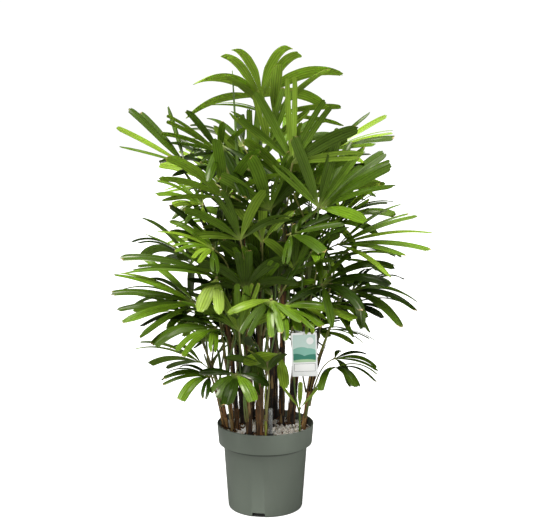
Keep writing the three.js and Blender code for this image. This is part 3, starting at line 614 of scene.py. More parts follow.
def leafletsOf(frond):
    stream, rule = Stream(frond.index), frondRule
    pitch = frond.spread / (frond.count - 1)
    leaflets = []
    for i in range(frond.count):
        angle = i * pitch - frond.spread / 2
        edge = abs(angle) / (frond.spread / 2)
        middling = lerp(rule["edgeLength"], 1, math.cos(math.radians(rule["edgeTurn"] * angle)))
        width = frond.width * lerp(1, rule["edgeWidth"], edge)
        leaflets.append({
            "edge": edge,
            "length": frond.length * middling * (1 + stream.about(rule["length"])),
            "width": width * (1 + stream.about(rule["width"])),
            "angle": angle + pitch * stream.about(rule["angle"]),
            "bend": frond.bend * (1 + stream.about(rule["bend"])),
            "twist": stream.about(rule["twist"]),
            "cup": rule["cupLeast"] + rule["cup"] * stream.draw(),
        })
    return leaflets


def centreline(frond, hub, leaflet, turn, droop):
    angle = math.radians(leaflet["angle"] + turn)
    flat = frond.inFan(angle)
    cup = math.radians(leaflet["cup"])
    start = flat * math.cos(cup) + frond.up * math.sin(cup)
    across = frond.inFan(angle + math.pi / 2)
    steps = frondRule["steps"]
    point = hub + flat * frondRule["hubRadius"]
    points, sides, overs = [], [], []
    for k in range(steps + 1):
        fall = leaflet["bend"] * droop * (k / steps) ** frondRule["bendPower"]
        along = unit(start - np.array([0, 0, fall]))
        if k > 0:
            point = point + along * leaflet["length"] / steps
        side = unit(across - along * np.dot(across, along))
        side = turned(side, along, math.radians(leaflet["twist"]) * k / steps)
        points.append(point)
        sides.append(side)
        overs.append(np.cross(side, along))
    return np.array(points), np.array(sides), np.array(overs)


def petioleCurve(frond, hub, turn):
    foot, outward = np.array(suckerFoot, float), np.zeros(3)
    if frond.cane:
        t = caneShare(frond.cane, frond.footHeight) if frond.footHeight else 1
        axis = caneAxis(frond.cane, t)
        outward = unit(np.array([hub[0] - axis[0], hub[1] - axis[1], 0]))
        outward = turned(outward, np.array([0, 0, 1]), math.radians(turn))
        if frond.footHeight:
            out = caneRadius(frond.cane, t) + frondRule["petioleFoot"] + 2 * touchGap
            foot = axis + outward * out
        else:
            rise = frondRule["headFootRise"] + frond.index % 3 * frondRule["headFootStep"]
            foot = axis + caneEnd(frond.cane) * rise
    reach = np.linalg.norm(hub - foot)
    leave = unit(outward * frondRule["petioleSpread"] + np.array([0, 0, 1]))
    arrive = (-frond.forward * frondRule["petioleArrive"] * reach
              - frond.up * frondRule["petioleUnder"] * reach)
    return np.array([foot, foot + leave * frondRule["petioleLeave"] * reach, hub + arrive, hub])


def onCurve(curve, t):
    a, b, c, d = curve
    s = 1 - t
    return a * s ** 3 + 3 * b * s * s * t + 3 * c * s * t * t + d * t ** 3


def alongCurve(curve, t):
    a, b, c, d = curve
    s = 1 - t
    return unit(3 * (b - a) * s * s + 6 * (c - b) * s * t + 3 * (d - c) * t * t)


def petioleFrames(frond, curve, shares):
    # Frames along the petiole, carried back from the fan's own side direction
    side = frond.side
    frames = []
    for t in reversed(shares):
        along = alongCurve(curve, t)
        side = unit(side - along * np.dot(side, along))
        frames.append((onCurve(curve, t), side, np.cross(side, along)))
    return frames[::-1]


def nodeTrees():
    trees = {}
    for name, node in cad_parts.items():
        if name.startswith(("head_", "frond_")):
            corners = {tuple(round(c, 7) for c in v.co) for v in node.data.vertices}
            tree = kdtree.KDTree(len(corners))
            for i, corner in enumerate(sorted(corners)):
                tree.insert([c / mm for c in corner], i)
            tree.balance()
            trees[name] = tree
    return trees


def holds(tree, point):
    return tree.find(point)[2] < samePoint


def standFrond(frond, tree):
    # The try that the solids hold: its hub's top and the rings of its petiole are corners there
    best, bestCount = None, 0
    for turn, lift in petioleTries:
        hub = frond.hub + np.array([0, 0, lift])
        if not holds(tree, hub + frond.up * frondRule["hubTop"]):
            continue
        curve = petioleCurve(frond, hub, turn)
        count = 0
        for t, (centre, side, over) in zip(frondRule["petioleShares"],
                                           petioleFrames(frond, curve, frondRule["petioleShares"])):
            radius = lerp(frondRule["petioleFoot"], frondRule["petioleTip"], t)
            count += sum(holds(tree, centre + way * radius) for way in (over, side, -over, -side))
        if count > bestCount:
            best, bestCount = (hub, curve), count
    if best:
        frond.place, frond.curve = best
    return best is not None


def standLeaflets(frond, tree):
    # The try that the solids hold. A leaflet that had no room there stands here in the first try
    frond.leaflets = []
    for leaflet in leafletsOf(frond):
        tries = [centreline(frond, frond.place, leaflet, *attempt) for attempt in leafletTries]
        halfTip = leaflet["width"] * widthStops[-1] / 2
        for points, sides, overs in tries if tree else []:
            tip = (points[-1] + overs[-1] * frondRule["crest"],
                   points[-1] + sides[-1] * halfTip, points[-1] - sides[-1] * halfTip)
            if any(holds(tree, corner) for corner in tip):
                break
        else:
            points, sides, overs = tries[0]
            if hidesCard(points) or points[:, 2].min() < leafFloor:
                continue
        frond.leaflets.append({**leaflet, "points": points, "sides": sides, "overs": overs})


def hidesCard(points):
    x, y, z = card["centre"]
    near = (abs(points[:, 0] - x) < card["width"] / 2 + card["clearSide"])
    near &= abs(points[:, 2] - z - card["clearLift"]) < card["height"] / 2 + card["clearSide"]
    return bool((near & (points[:, 1] < y + card["clearBack"])).any())


# Small inner fans on side petioles, which close the heart of the clump
innerRows = [  # hub height, reach, count, rise, leaflet length, bend
    (450, 120, 7, 40, 130, 0.5), (500, 110, 8, 50, 150, 0.4), (560, 130, 8, 40, 150, 0.6),
    (630, 90, 8, 60, 165, 0.3), (700, 120, 7, 45, 160, 0.5),
]
innerRule = {
    "firstIndex": 200, "streams": 3000, "centre": (0, -10),
    "width": 33, "spread": 120, "leaflets": 5,
    "azimuth": 50, "reach": 0.8, "height": 70, "aim": 80, "rise": 40, "roll": 60,
    "drop": (110, 220), "overGravel": 25, "underTip": 10,  # where the petiole's foot is on its cane
    # mostly the deep tone: painted shade for the heart of the clump
    "tones": ("deep", "deep", "deep", "dark", "mid"),
}


def innerFronds():
    fronds = []
    for height, reach, count, rise, length, bend in innerRows:
        for i in range(count):
            index = innerRule["firstIndex"] + len(fronds)
            stream = Stream(innerRule["streams"] + index)
            azimuth, hub = dealtHub(innerRule, stream, 360 * i / count + height, reach, height)
            foot = hub[2] - stream.span(*innerRule["drop"])
            foot = max(foot, gravelFoot + innerRule["overGravel"])
            near = [(np.hypot(*(caneAxis(name, caneShare(name, foot)) - hub)[:2]), name)
                    for name in canes if canes[name][2][2] > foot + innerRule["underTip"]]
            if not near:
                continue
            aim = dealtAim(innerRule, stream, azimuth, rise)
            tone = innerRule["tones"][int(stream.draw() * len(innerRule["tones"]))]
            row = (min(near)[1], foot, hub, aim, length, innerRule["width"],
                   innerRule["spread"], innerRule["leaflets"], bend, tone)
            frond = Frond(row, index)
            frond.place = frond.hub
            frond.curve = petioleCurve(frond, frond.hub, 0)
            if not hidesCard(np.array([onCurve(frond.curve, t) for t in np.linspace(0, 1, 9)])):
                fronds.append(frond)
    return fronds


blade = {
    "rows": np.concatenate([np.linspace(0, 0.8, 15), np.linspace(0.84, 1, 6)]),
    "thickness": 0.5,
    "ribWidth": 6.2, "fewestRibs": 2, "mostRibs": 5,
    "foldShare": 0.6,  # how much of the solid's crest the fold keeps
    "pleatShare": 0.21,  # height of a rib to its width
    "splitFrom": 22,  # leaflets wider than this may be split
    "splitChance": 0.28,
    "openShare": 0.24,  # how far split strips stand apart at the tip
    "openFrom": 0.45,  # where the split starts
    "splitRoll": 16, "wholeRollShare": 0.3,
    "stripShort": 0.14, "wholeShort": 0.02,  # the share of its length that it may lose
    "edgeFrom": 0.6,  # fans' outer leaflets, which are pointed, as the inner ones are blunt
    "pointedShare": 0.72,
    "bluntShare": 0.9,
    "bluntStops": (0.12, 0.5, 0.88, 1, 0.95, 0.8),
    "toothShare": 0.035, "cornerShare": 0.03, "toothFrom": 0.86,
    "pointFrom": 0.8, "stripNarrows": 0.1, "foldRun": 0.12, "pleatRun": (0.02, 0.2),
    "rippleHeight": 1.6, "rippleWaves": (1.2, 2.6),
    "toneSteps": [(0.3, 1), (0.45, -1), (1, 0)],
    "footBack": 5, "footRun": 0.12,  # how far a blade starts behind the hub's rim
    "cellFoot": 0.01, "cellShare": 0.98,  # what a blade takes of its map cell's height
}


def stripFaces(rows, columns):
    # Faces and finishes of a thin sheet: 0 above and at the ends, 1 below
    key = ("strip", rows, columns)
    if key not in knownFaces:
        ring = 2 * columns - 2
        faces = ringQuads(rows, ring)
        finishes = [0 if k < columns - 1 else 1 for k in range(ring)] * (rows - 1)
        for row, isEnd in ((0, False), (rows - 1, True)):
            for j in range(columns - 1):
                base = row * ring
                under = [base + (ring - c if 0 < c < columns - 1 else c) for c in (j, j + 1)]
                corners = [base + j, base + j + 1, under[1], under[0]]
                corners = [c for i, c in enumerate(corners) if c not in corners[:i]]
                if not isEnd:
                    corners.reverse()
                faces.append((*corners, corners[-1]) if len(corners) == 3 else tuple(corners))
                finishes.append(0)
        knownFaces[key] = np.array(faces), np.array(finishes)
    return knownFaces[key]


def sheetPoints(top, under):
    return np.concatenate([top, under[:, -2:0:-1]], axis=1).reshape(-1, 3)


def sampled(values, places):
    low = np.minimum(places.astype(int), len(values) - 2)
    share = (places - low)[..., None]
    return values[low] * (1 - share) + values[low + 1] * share


def smoothStep(low, high, t):
    s = np.clip((t - low) / (high - low), 0, 1)
    return s * s * (3 - 2 * s)


def addStrip(heap, stream, leaflet, part, parts):
    # One blade, or one strip of a split one: a thin pleated sheet with an upper and a lower face
    points, split = leaflet["points"], parts > 1
    ribs = round(leaflet["width"] / parts / blade["ribWidth"])
    ribs = max(blade["fewestRibs"], min(blade["mostRibs"], ribs))
    columns = 2 * ribs + 1
    across = np.linspace(-1, 1, columns)
    rows = blade["rows"]
    lengthShare = 1 - (blade["stripShort"] * stream.draw() if split else blade["wholeShort"])
    teeth = blade["toothShare"] * np.array([stream.draw() for _ in range(columns)])
    teeth += blade["cornerShare"] * np.abs(across) ** 3
    cut = teeth[None, :] * smoothStep(blade["toothFrom"], 1, rows)[:, None]
    t = rows[:, None] * lengthShare * (1 - cut)
    steps = t * (len(points) - 1)
    centre, side, over = (sampled(leaflet[key], steps) for key in ("points", "sides", "overs"))
    blunt = blade["bluntShare"] * (leaflet["edge"] < blade["edgeFrom"])
    full = leaflet["width"] * lerp(np.interp(t, widthShares, widthStops),
                                   np.interp(t, widthShares, blade["bluntStops"]), blunt)
    if leaflet["edge"] > blade["edgeFrom"]:
        pointed = smoothStep(blade["pointFrom"], 1, rows)
        full = full * lerp(1, blade["pointedShare"], pointed)[:, None]
    middle = ((part + 0.5) / parts - 0.5) * 2  # of the whole blade, from -1 to 1
    half = full / 2 / parts
    shift = full / 2 * middle
    if split:
        opened = smoothStep(blade["openFrom"], 1, t)
        shift = shift * (1 + blade["openShare"] * 2 * opened)
        narrows = smoothStep(blade["openFrom"], blade["pointFrom"], t)
        half = half * (1 - blade["stripNarrows"] * narrows)
    place = shift + half * across[None, :]
    wide = np.clip(np.abs(place) / np.maximum(full / 2, 0.1), 0, 1)
    crest = frondRule["crest"] * blade["foldShare"]
    fold = crest * smoothStep(0, blade["foldRun"], t) * (1 - wide)
    ridge = np.where(np.arange(columns) % 2 == 1, 1.0, 0.0)[None, :]
    pleat = blade["pleatShare"] * (2 * half / ribs) * ridge * smoothStep(*blade["pleatRun"], t)
    phase, waves = stream.draw() * 2 * math.pi, stream.span(*blade["rippleWaves"])
    ripple = blade["rippleHeight"] * np.sin(waves * math.pi * t + phase) * t * stream.draw()
    roll = math.radians(blade["splitRoll"]) * (2 * stream.draw() - 1)
    roll *= 1 if split else blade["wholeRollShare"]
    tilt = np.tan(roll) * (place - shift) * t
    lift = fold + pleat + ripple + tilt
    top = centre + side * place[..., None] + over * lift[..., None]
    back = blade["footBack"] * smoothStep(blade["footRun"], 0, rows)  # runs in under the hub
    top = top - unit(points[1] - points[0]) * back[:, None, None]
    faces, finishes = stripFaces(len(rows), columns)
    u = across / 2 * ribs / leafPrint["ribsAcross"] + 0.5
    cellX = int(stream.draw() * leafPrint["columns"])
    cellY = int(stream.draw() * leafPrint["rows"])
    ringU = (cellX + np.concatenate([u, u[-2:0:-1]])) / leafPrint["columns"]
    ringV = (cellY + blade["cellFoot"] + blade["cellShare"] * rows) / leafPrint["rows"]
    places = np.stack(np.broadcast_arrays(ringU[None, :], ringV[:, None]), -1)
    sheet = sheetPoints(top, top - over * blade["thickness"])
    heap.add(sheet, faces, finishes, places.reshape(-1, 2))


def addFrondBlades(heaps, frond):
    # Each leaflet keeps its fan's tone, or takes the next lighter or darker one
    stream = Stream(seeds["blades"] + frond.index)
    order = list(leafTones)
    for leaflet in frond.leaflets:
        step = next(step for share, step in blade["toneSteps"] if stream.draw() <= share)
        place = min(max(order.index(frond.tone) + step, 1), len(order) - 1)
        heap = heaps["lime" if frond.tone == "lime" else order[place]]
        splits = leaflet["width"] > blade["splitFrom"] and stream.draw() < blade["splitChance"]
        parts = 2 if splits else 1
        for part in range(parts):
            addStrip(heap, stream, leaflet, part, parts)


petioleLook = {"sides": 8, "shares": [0, 0.02, 0.05, 0.1] + [0.17 + 0.083 * i for i in range(11)],
               "footFlare": 1.5, "footRun": 0.08, "flatness": 0.82,
               "hubFlare": 1.5, "hubFrom": 0.95, "hubRun": 0.05,
               "green": (0.1, 0.17, 0.025), "olive": (0.2, 0.2, 0.05)}
hubLook = {"radius": 4.6, "height": 2.4, "lift": 0.8, "rings": (-0.95, -0.6, 0, 0.6, 0.95),
           "sides": 8, "colour": (0.17, 0.16, 0.04)}


def addPetiole(heap, frond):
    look = petioleLook
    shares, sides = look["shares"], look["sides"]
    turns = turnsOf(sides)
    rings, places = [], []
    for t, (centre, side, over) in zip(shares, petioleFrames(frond, frond.curve, shares)):
        radius = lerp(frondRule["petioleFoot"], frondRule["petioleTip"], t)
        radius *= 1 + (look["footFlare"] - 1) * max(0, 1 - t / look["footRun"])
        radius *= 1 + (look["hubFlare"] - 1) * max(0, (t - look["hubFrom"]) / look["hubRun"])
        flat = radius * look["flatness"]
        rings.append(centre + np.outer(np.cos(turns), side) * radius
                     - np.outer(np.sin(turns), over) * flat)
        places += [(k / sides, t) for k in range(sides)]
    heap.add(np.concatenate(rings), ringShell(len(shares), sides), 0, np.array(places))


def addHub(heap, frond):
    turns = turnsOf(hubLook["sides"])
    rings = []
    for level in hubLook["rings"]:
        size = hubLook["radius"] * math.sqrt(1 - level ** 2)
        ring = (np.outer(np.cos(turns), frond.side) * size
                + np.outer(np.sin(turns), frond.forward) * size)
        rings.append(frond.place + frond.up * (level * hubLook["height"] + hubLook["lift"]) + ring)
    heap.add(np.concatenate(rings), ringShell(len(rings), hubLook["sides"]))


caneLook = {
    "sides": 24, "rowHeight": 4.5, "inset": 0.6,
    "firstNode": 8, "lastNode": 12, "nodePitch": (26, 44),  # from the foot, from the tip, between
    "sleeveFlare": 1.5, "sleeveRun": 30, "sleeveThins": 0.6,  # each sheath widens towards its top
    "grooveDepth": 0.9, "grooveWidth": 2.2,  # the leaf scar below it
    "bumps": (2.2, 38, 7), "ribs": (7, 130, 3),  # scale round, scale up, step from cane to cane
    "ridge": 0.45, "ribShare": 1.3, "sheathTop": 0.72,
}
tipLook = {
    "sides": 12, "firstRing": 4, "narrowFrom": 45, "sheathRings": 6, "spearFrom": 55,
    "spearRings": 12, "neck": 0.8, "longShare": 0.8, "spearSizes": (2.6, 1), "slim": 0.95,
    "pleat": 0.16, "pleatRun": (30, 70), "twist": 0.004, "seat": 4, "mapLength": 400,
    "colour": (0.12, 0.2, 0.03),
}
fibreLook = {
    "count": 80, "countRun": 400,  # so many to so much of a cane
    "segments": 6, "thick": (0.4, 1.1), "thickFoot": 1.15, "thins": 0.8, "sunk": 0.2,
    "start": (-6, 10), "length": (35, 120), "hug": 0.8, "loose": 0.3, "looseLift": (2, 9),
    "closeLift": (0.2, 0.8), "liftPower": 2.2, "spiral": (-0.35, 0.35),
}
fibrePaints = {"fibreBlack": (0.012, 0.008, 0.006), "fibreDark": (0.035, 0.02, 0.012),
               "fibreBrown": (0.11, 0.058, 0.022), "fibreRust": (0.21, 0.095, 0.03),
               "fibreTan": (0.3, 0.2, 0.08)}
flapLook = {
    "tries": 3, "chance": 0.7, "start": (-3, 4), "underTip": 4, "length": (28, 80),
    "width": (7, 14), "taperPower": 1.6, "tipHalf": 0.4, "thick": 0.5, "rows": 8, "columns": 5,
    "lift": 0.5, "flare": 0.9, "offset": (0.5, 6), "offsetPower": 2.5, "lean": (-0.4, 0.4),
}
crumbLook = {"perCane": 48, "size": (1.6, 5), "spread": 8, "height": (217.5, 228), "slope": 0.8}


def ringAt(name, t, radii, turns):
    around = np.stack([np.cos(turns) * radii, np.sin(turns) * radii, np.zeros(len(turns))], -1)
    return caneAxis(name, t) + around


def caneNodes(name, stream):
    # Heights of the leaf scars up a cane
    heights, height = [], gravelFoot + caneLook["firstNode"]
    while height < canes[name][2][2] - caneLook["lastNode"]:
        heights.append(height)
        height += stream.span(*caneLook["nodePitch"])
    return np.array(heights)


def caneWaves(turns, height, number, kind):
    # Soft unevenness round a cane at one height
    around, upwards, step = caneLook[kind]
    return np.array([noise.noise(Vector((math.cos(a) * around, math.sin(a) * around,
                                         height / upwards + number * step))) for a in turns])


def addCane(heap, name, number):
    nodes = caneNodes(name, Stream(seeds["canes"] + number))
    top, sides = canes[name][2][2], caneLook["sides"]
    count = int((top - gravelFoot) / caneLook["rowHeight"])
    column = number % barkPrint["columns"]
    turns = turnsOf(sides)
    rings, places = [], []
    for i in range(count + 1):
        t = i / count
        height = lerp(gravelFoot, top, t)
        below = nodes[nodes <= height]
        since = height - (below[-1] if len(below) else gravelFoot)
        sleeve = (caneLook["sleeveFlare"] * min(since / caneLook["sleeveRun"], 1)
                  * (1 - caneLook["sleeveThins"] * t))
        groove = -caneLook["grooveDepth"] * math.exp(-(since / caneLook["grooveWidth"]) ** 2)
        waves = caneWaves(turns, height, number, "bumps")
        waves += caneLook["ribShare"] * caneWaves(turns, height, number, "ribs")
        radii = (caneRadius(name, t) - caneLook["inset"] + sleeve + groove
                 + caneLook["ridge"] * waves)
        rings.append(ringAt(name, t, radii, turns))
        v = (height - barkPrint["foot"]) / barkPrint["height"]
        half = sides / 2
        places += [((column + abs(k - half) / half) / barkPrint["columns"], v)
                   for k in range(sides)]
    heap.add(np.concatenate(rings), ringShell(len(rings), sides), 0, np.array(places))


def addTip(heap, name, number):
    # The sheathed growing tip, which narrows to a folded spear
    axis, top = caneEnd(name), caneAxis(name, 1)
    radius, spear = caneRadius(name, 1), canes[name][3]
    look, sides = tipLook, tipLook["sides"]
    turns = turnsOf(sides)
    places, rings = [], []
    levels = np.concatenate([
        [touchGap], np.linspace(look["firstRing"], look["narrowFrom"], look["sheathRings"]),
        np.linspace(look["spearFrom"], spear, look["spearRings"])])
    sizes = np.interp(levels, (0, look["narrowFrom"], look["longShare"] * spear, spear),
                      (radius, look["neck"] * radius, *look["spearSizes"]))
    side = unit(np.cross(axis, np.array([1.0, 0, 0])))
    other = np.cross(axis, side)
    folds = np.where(np.arange(sides) % 2 == 0, 1, -1)
    for level, size in zip(levels, sizes):
        pleat = 1 + look["pleat"] * smoothStep(*look["pleatRun"], level) * folds
        twist = level * look["twist"]
        ring = (np.outer(np.cos(turns + twist) * pleat, side)
                + np.outer(np.sin(turns + twist) * pleat, other))
        rings.append(top + axis * level + ring * size * look["slim"])
        places += [(k / sides, level / look["mapLength"]) for k in range(sides)]
    points = np.concatenate(rings)
    points[:sides, 2] = np.maximum(points[:sides, 2], top[2] - look["seat"])
    heap.add(points, ringShell(len(rings), sides), 0, np.array(places))


def addFibres(heap, name, number):
    stream = Stream(seeds["fibres"] + number)
    nodes = caneNodes(name, Stream(seeds["canes"] + number))
    top = canes[name][2][2]
    limit = lerp(gravelFoot, top, caneLook["sheathTop"])
    turns, look = turnsOf(3), fibreLook
    for _ in range(int(look["count"] * (top - gravelFoot) / look["countRun"])):
        start = nodes[int(stream.draw() * len(nodes))] + stream.span(*look["start"])
        length = stream.span(*look["length"])
        if start > limit or start + length > top:
            continue
        angle, spiral = stream.draw() * 2 * math.pi, stream.span(*look["spiral"])
        thick = stream.span(*look["thick"])
        away = stream.draw() < look["loose"]
        lift = stream.span(*look["looseLift" if away else "closeLift"])
        rings = []
        for i in range(look["segments"] + 1):
            s = i / look["segments"]
            t = caneShare(name, start + length * s)
            out = (caneRadius(name, t) + caneLook["sleeveFlare"] * look["hug"] * s
                   + lift * s ** look["liftPower"] - look["sunk"])
            a = angle + spiral * s
            way = np.array([math.cos(a), math.sin(a), 0])
            across = np.array([-math.sin(a), math.cos(a), 0])
            size = thick * (look["thickFoot"] - look["thins"] * s)
            centre = caneAxis(name, t) + way * out
            rings.append(centre + np.outer(np.cos(turns), way) * size
                         + np.outer(np.sin(turns), across) * size)
        paint = int(stream.draw() * len(fibrePaints))
        heap.add(np.concatenate(rings), ringShell(len(rings), 3), paint)


def addFlaps(heap, name, number):
    # The torn sheaths of old leaves, which hug the cane and stand off at their tips
    stream = Stream(seeds["flaps"] + number)
    nodes = caneNodes(name, Stream(seeds["canes"] + number))
    look, rows, columns = flapLook, flapLook["rows"], flapLook["columns"]
    across = np.linspace(-1, 1, columns)
    for node in np.tile(nodes, look["tries"]):
        if stream.draw() > look["chance"]:
            continue
        length, width = stream.span(*look["length"]), stream.span(*look["width"])
        start = node + stream.span(*look["start"])
        if start + length > canes[name][2][2] - look["underTip"]:
            continue
        angle, lean = stream.draw() * 2 * math.pi, stream.span(*look["lean"])
        off = stream.span(*look["offset"]) * stream.draw()
        top, under = [], []
        for i in range(rows):
            s = i / (rows - 1)
            t = caneShare(name, start + length * s)
            half = width / 2 * (1 - s ** look["taperPower"]) + look["tipHalf"]
            radius = (caneRadius(name, t) + look["lift"] + look["flare"] * s
                      + off * s ** look["offsetPower"])
            a = angle + lean * s + across * half / (radius + 2)
            edge = np.stack([np.cos(a), np.sin(a), np.zeros(columns)], -1)
            top.append(caneAxis(name, t) + edge * (radius + look["thick"]))
            under.append(caneAxis(name, t) + edge * radius)
        faces, _ = stripFaces(rows, columns)
        paint = int(stream.draw() * len(fibrePaints))
        heap.add(sheetPoints(np.array(top), np.array(under)), faces, paint)


def addCrumbs(heap, name, number):
    # Crumbs of root and old sheath round a cane's foot
    stream, shapes = Stream(seeds["crumbs"] + number), chipShapes()
    foot, radius, _, _ = canes[name]
    for _ in range(crumbLook["perCane"]):
        angle, size = stream.draw() * 2 * math.pi, stream.span(*crumbLook["size"])
        out = radius + crumbLook["spread"] * stream.draw()
        height = stream.span(*crumbLook["height"]) - crumbLook["slope"] * (out - radius)
        place = np.array([foot[0] + out * math.cos(angle), foot[1] + out * math.sin(angle), height])
        turn = tumbled(stream)
        points, faces = shapes[int(stream.draw() * len(shapes))]
        paint = int(stream.draw() * (len(fibrePaints) - 1))
        if math.hypot(place[0], place[1]) + size < gravel["reach"] - 1:
            heap.add(points @ turn * size + place, faces, paint)


pot = {
    "height": 240, "rim": 135, "collarFoot": 130.5, "collarFootHeight": 184, "wall": 3,
    "wallTop": 117, "wallFoot": 104.5, "footRing": 97, "pad": 60, "channelInner": 64,
    "channelOuter": 94, "channelHeight": 13, "segments": 96, "holes": 6, "holeRadius": 6,
    "holeTurn": 30, "notches": 3, "notchWidth": 38, "notchHeight": 12, "notchDepth": 14,
    "notchOut": 6, "notchTaper": 2, "notchTurn": -100.5, "collarRound": 1.6, "edgeRound": 0.5,
}
# The last colour and the two heights after it are painted shade: a dark band on the body just under
# the collar
potLook = {
    "dark": (0.128, 0.151, 0.122), "light": (0.146, 0.17, 0.137), "dust": (0.3, 0.31, 0.28, 1),
    "paintedShade": (0.022, 0.026, 0.02, 1), "paintedShadeFrom": 0.1745, "paintedShadeTo": 0.179, "collarFoot": 0.1842,
}


def spun(profile, segments):
    # A closed turned shape from a profile in millimetres
    bm = bmesh.new()
    corners = [bm.verts.new((r * mm, 0, z * mm)) for r, z in profile]
    edges = [bm.edges.new(pair) for pair in zip(corners, corners[1:])]
    if profile[0][0] > 0:
        edges.append(bm.edges.new((corners[-1], corners[0])))
    bmesh.ops.spin(bm, geom=corners + edges, axis=(0, 0, 1), angle=2 * math.pi, steps=segments,
                   use_merge=True)
    bmesh.ops.remove_doubles(bm, verts=bm.verts, dist=1e-6)
    bmesh.ops.recalc_face_normals(bm, faces=bm.faces)
    return bm


def bevelRings(bm, offset, segments, least, keep=lambda edge: True):
    # Rounds the level edges that turn by more than the least angle
    sharp = [e for e in bm.edges
             if len(e.link_faces) == 2 and e.calc_face_angle() > math.radians(least)
             and abs(e.verts[0].co.z - e.verts[1].co.z) < 1e-6 and keep(e)]
    bmesh.ops.bevel(bm, geom=sharp, offset=offset * mm, segments=segments, profile=0.5,
                    affect="EDGES", material=-1)


def rotated(bm, degrees, axis):
    turn = Matrix.Rotation(math.radians(degrees), 3, axis)
    bmesh.ops.rotate(bm, verts=bm.verts, cent=(0, 0, 0), matrix=turn)


def cutBy(piece, cutters):
    for cutter in cutters:
        cut = piece.modifiers.new("cut", "BOOLEAN")
        cut.operation = "DIFFERENCE"
        cut.solver = "EXACT"
        cut.object = cutter
    applyModifiers(piece)
    for cutter in cutters:
        bpy.data.objects.remove(cutter)


def applyModifiers(piece):
    evaluated = piece.evaluated_get(bpy.context.evaluated_depsgraph_get())
    mesh = bpy.data.meshes.new_from_object(evaluated)
    piece.modifiers.clear()
    piece.data = mesh


def potFinish():
    finish, look = Finish("potPlastic", 0.52), potLook
    place = finish.place()
    clouds = finish.noise(place, (5, 5, 3), 3)
    dust = finish.noise(place, (30, 30, 9), 4)
    body = finish.ramp(clouds, [(0.3, look["dark"]), (0.7, look["light"])])
    body = finish.mix(finish.ranged(dust, 0.55, 0.8, 0, 0.12), body, look["dust"])
    # Painted shade in the corner under the collar: a dark band on the body just below it
    height = finish.part(place, "Z")
    corner = finish.times(finish.ranged(height, look["paintedShadeFrom"], look["paintedShadeTo"], 0, 0.85),
                          finish.maths("LESS_THAN", height, look["collarFoot"]))
    finish.give("Base Color", finish.mix(corner, body, look["paintedShade"]))
    finish.give("Specular IOR Level", 0.35)
    finish.give("Roughness", finish.ranged(dust, 0.3, 0.7, 0.44, 0.58))
    finish.bump(finish.noise(place, 900, 2), 0.12, 0.0003)
    return finish.material


def potProfile():
    p = pot
    wall = p["wall"]
    ledge = p["collarFootHeight"] + wall
    floorTop = p["channelHeight"] + wall
    outside = [
        (0, 0), (p["pad"], 0), (p["channelInner"], p["channelHeight"]),
        (p["channelOuter"], p["channelHeight"]), (p["footRing"], 0), (p["wallFoot"] - 2, 0),
        (p["wallFoot"], 5), (p["wallTop"], p["collarFootHeight"]),
        (p["collarFoot"], p["collarFootHeight"]), (p["rim"], p["height"] - 2),
        (p["rim"] - 1, p["height"]),
    ]
    inside = [
        (p["rim"] - wall - 0.5, p["height"]), (p["collarFoot"] - wall, ledge),
        (p["wallTop"] - wall, ledge), (p["wallFoot"] - wall, floorTop), (p["pad"], floorTop),
        (p["pad"] - wall, wall), (0, wall),
    ]
    return outside + inside


def makePot():
    p = pot
    collarFoot = p["collarFootHeight"] * mm
    bm = spun(potProfile(), p["segments"])
    bevelRings(bm, p["collarRound"], 3, 60, lambda e: abs(e.verts[0].co.z - collarFoot) < 1e-5
               and e.verts[0].co.xy.length > 0.125)
    bevelRings(bm, p["edgeRound"], 2, 30)
    piece = objectOf("potShell", bm, [potFinish()])
    cutters = []
    for i in range(p["holes"]):
        cut = bmesh.new()
        bmesh.ops.create_cone(cut, cap_ends=True, segments=24, radius1=p["holeRadius"] * mm,
                              radius2=p["holeRadius"] * mm, depth=4 * p["wall"] * mm)
        out = (p["channelInner"] + p["channelOuter"]) / 2 * mm
        floorTop = (p["channelHeight"] + p["wall"]) * mm
        bmesh.ops.translate(cut, verts=cut.verts, vec=(out, 0, floorTop))
        rotated(cut, p["notchTurn"] + p["holeTurn"] + 360 / p["holes"] * i, "Z")
        cutters.append(objectOf(f"holeCutter{i}", cut, [], smooth=False))
    for i in range(p["notches"]):
        cut = bmesh.new()
        bmesh.ops.create_cube(cut, size=1)
        for v in cut.verts:
            taper = p["notchTaper"] if v.co.z > 0 else 0
            v.co = ((p["channelOuter"] + p["notchOut"] + v.co.x * p["notchDepth"]) * mm,
                    math.copysign(p["notchWidth"] / 2 - taper, v.co.y) * mm,
                    (p["notchHeight"] if v.co.z > 0 else -2) * mm)
        rotated(cut, p["notchTurn"] + 360 / p["notches"] * i, "Z")
        cutters.append(objectOf(f"notchCutter{i}", cut, [], smooth=False))
    cutBy(piece, cutters)
    piece.data.set_sharp_from_angle(angle=math.radians(30))
    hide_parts("pot")
    return finished(piece)


gravel = {"reach": 128, "foot": 210.6, "top": 216.4, "rings": (112, 84, 56, 28), "uneven": 1.6}
chips = {"count": 1350, "shapes": 8, "size": (3.4, 7.2), "height": (215.6, 219.4), "edgeGap": 2.5,
         # the last colour is dark chips, partly painted shade that stands in for the dark gaps
         # between chips
         "colours": [(0.86, 0.8, 0.71), (0.6, 0.52, 0.42), (0.97, 0.95, 0.9), (0.2, 0.14, 0.09)],
         "shares": (0.4, 0.52, 0.9, 1)}


def soilFinish():
    finish = Finish("dampSoil", 0.95)
    clods = finish.noise(finish.place(), 160, 6, 0.7)
    body = finish.ramp(clods, [(0.3, (0.012, 0.008, 0.005)), (0.55, (0.05, 0.032, 0.02)),
                               (0.75, (0.12, 0.08, 0.05))])
    finish.give("Base Color", body)
    finish.bump(clods, 0.8, 0.003)
    return finish.material


